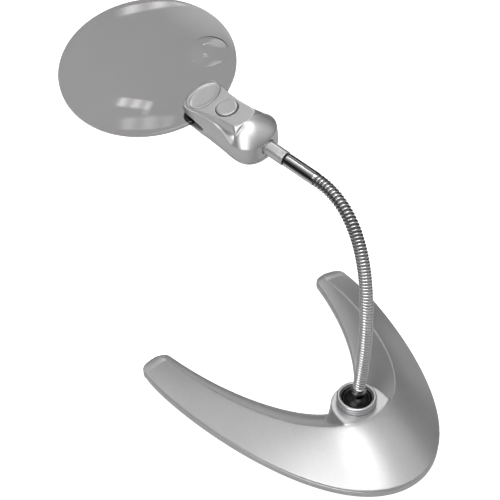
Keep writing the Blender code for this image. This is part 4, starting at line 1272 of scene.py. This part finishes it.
def glow_lobe(tree, view, direction, inner, outer, brightness):
    """Soft round light in the surroundings."""
    aim = Vector(direction).normalized()
    facing = vector_calc(tree, "DOT_PRODUCT", {0: view, 1: aim}, output="Value")
    return remap(tree, facing, 0.0, brightness, start=math.cos(math.radians(outer)),
                 end=math.cos(math.radians(inner)), interpolation_type="SMOOTHSTEP")


def window_pane(tree, view, centre, half_long, half_wide, turn, brightness):
    """Bright barred window overhead, laid out on the plane one unit up."""
    z = calc(tree, "MAXIMUM", view["Z"], 0.05)
    x = calc(tree, "SUBTRACT", calc(tree, "DIVIDE", view["X"], z), centre[0])
    y = calc(tree, "SUBTRACT", calc(tree, "DIVIDE", view["Y"], z), centre[1])
    cosine, sine = math.cos(math.radians(turn)), math.sin(math.radians(turn))
    along = calc(tree, "ADD", calc(tree, "MULTIPLY", x, cosine), calc(tree, "MULTIPLY", y, sine))
    across = calc(tree, "SUBTRACT", calc(tree, "MULTIPLY", y, cosine),
                  calc(tree, "MULTIPLY", x, sine))
    edges = []
    for offset, half in ((along, half_long), (across, half_wide)):
        inside = calc(tree, "SUBTRACT", half, calc(tree, "ABSOLUTE", offset))
        edge = calc(tree, "MULTIPLY", inside, 1.0 / (0.35 * half))
        edges.append(calc(tree, "MINIMUM", calc(tree, "MAXIMUM", edge, 0.0), 1.0))
    wave = calc(tree, "SINE", calc(tree, "MULTIPLY", along, 9.0 / half_long))
    bars = calc(tree, "ADD", calc(tree, "MULTIPLY", wave, 0.3), 0.7)
    pane = calc(tree, "MULTIPLY", calc(tree, "MULTIPLY", *edges), bars)
    return calc(tree, "MULTIPLY", pane, brightness)


def build_world():
    world = bpy.data.worlds.new("studio")
    bpy.context.scene.world = world
    world.use_nodes = True
    tree = world.node_tree
    view = add_node(tree, "TexCoord", {}).outputs["Generated"]
    view_xyz = add_node(tree, "SeparateXYZ", {0: view}).outputs
    total = grey_ramp(tree, view_xyz["Z"], WORLD_RAMP)
    for lobe in LOBES:
        total = calc(tree, "ADD", total, glow_lobe(tree, view, *lobe))
    for pane in PANES:
        total = calc(tree, "ADD", total, window_pane(tree, view_xyz, *pane))
    total = calc(tree, "MAXIMUM", total, 0.01)
    feed(tree, tree.nodes["Background"], {"Strength": total, "Color": (1, 1, 1, 1)})


def build_fill_light():
    light = bpy.data.lights.new("fill", "AREA")
    light.energy = FILL_POWER
    light.size = FILL_SIZE
    lamp = bpy.data.objects.new("fill", light)
    lamp.location = FILL_AT
    lamp.rotation_euler = (FILL_TARGET - FILL_AT).to_track_quat("-Z", "Y").to_euler()
    bpy.context.scene.collection.objects.link(lamp)


def build_camera():
    lens = bpy.data.cameras.new("camera")
    camera = bpy.data.objects.new("camera", lens)
    bpy.context.scene.collection.objects.link(camera)
    right, ahead = Vector(CAMERA_RIGHT).normalized(), Vector(CAMERA_AHEAD).normalized()
    upward = right.cross(ahead).normalized()
    pose = Matrix((right, upward, -ahead)).transposed().to_4x4()
    pose.translation = Vector(CAMERA_AT)
    camera.matrix_world = pose
    lens.sensor_width = SENSOR_WIDTH
    lens.lens = FOCAL_LENGTH
    lens.clip_start = 0.01
    bpy.context.scene.camera = camera
    bpy.context.scene.view_settings.view_transform = "Standard"


# ===================================================================== build
for build in (
    build_cover, build_plate, build_feet, build_base_screws, build_collar,
    build_ball, build_lower_ferrule, build_neck, build_roll_joint,
    build_shell, build_oval_inlay, build_button, build_bottom, build_door,
    build_head_screws, build_leds, build_lens, refinish_kept,
    build_floor, build_world, build_fill_light, build_camera,
):
    build()
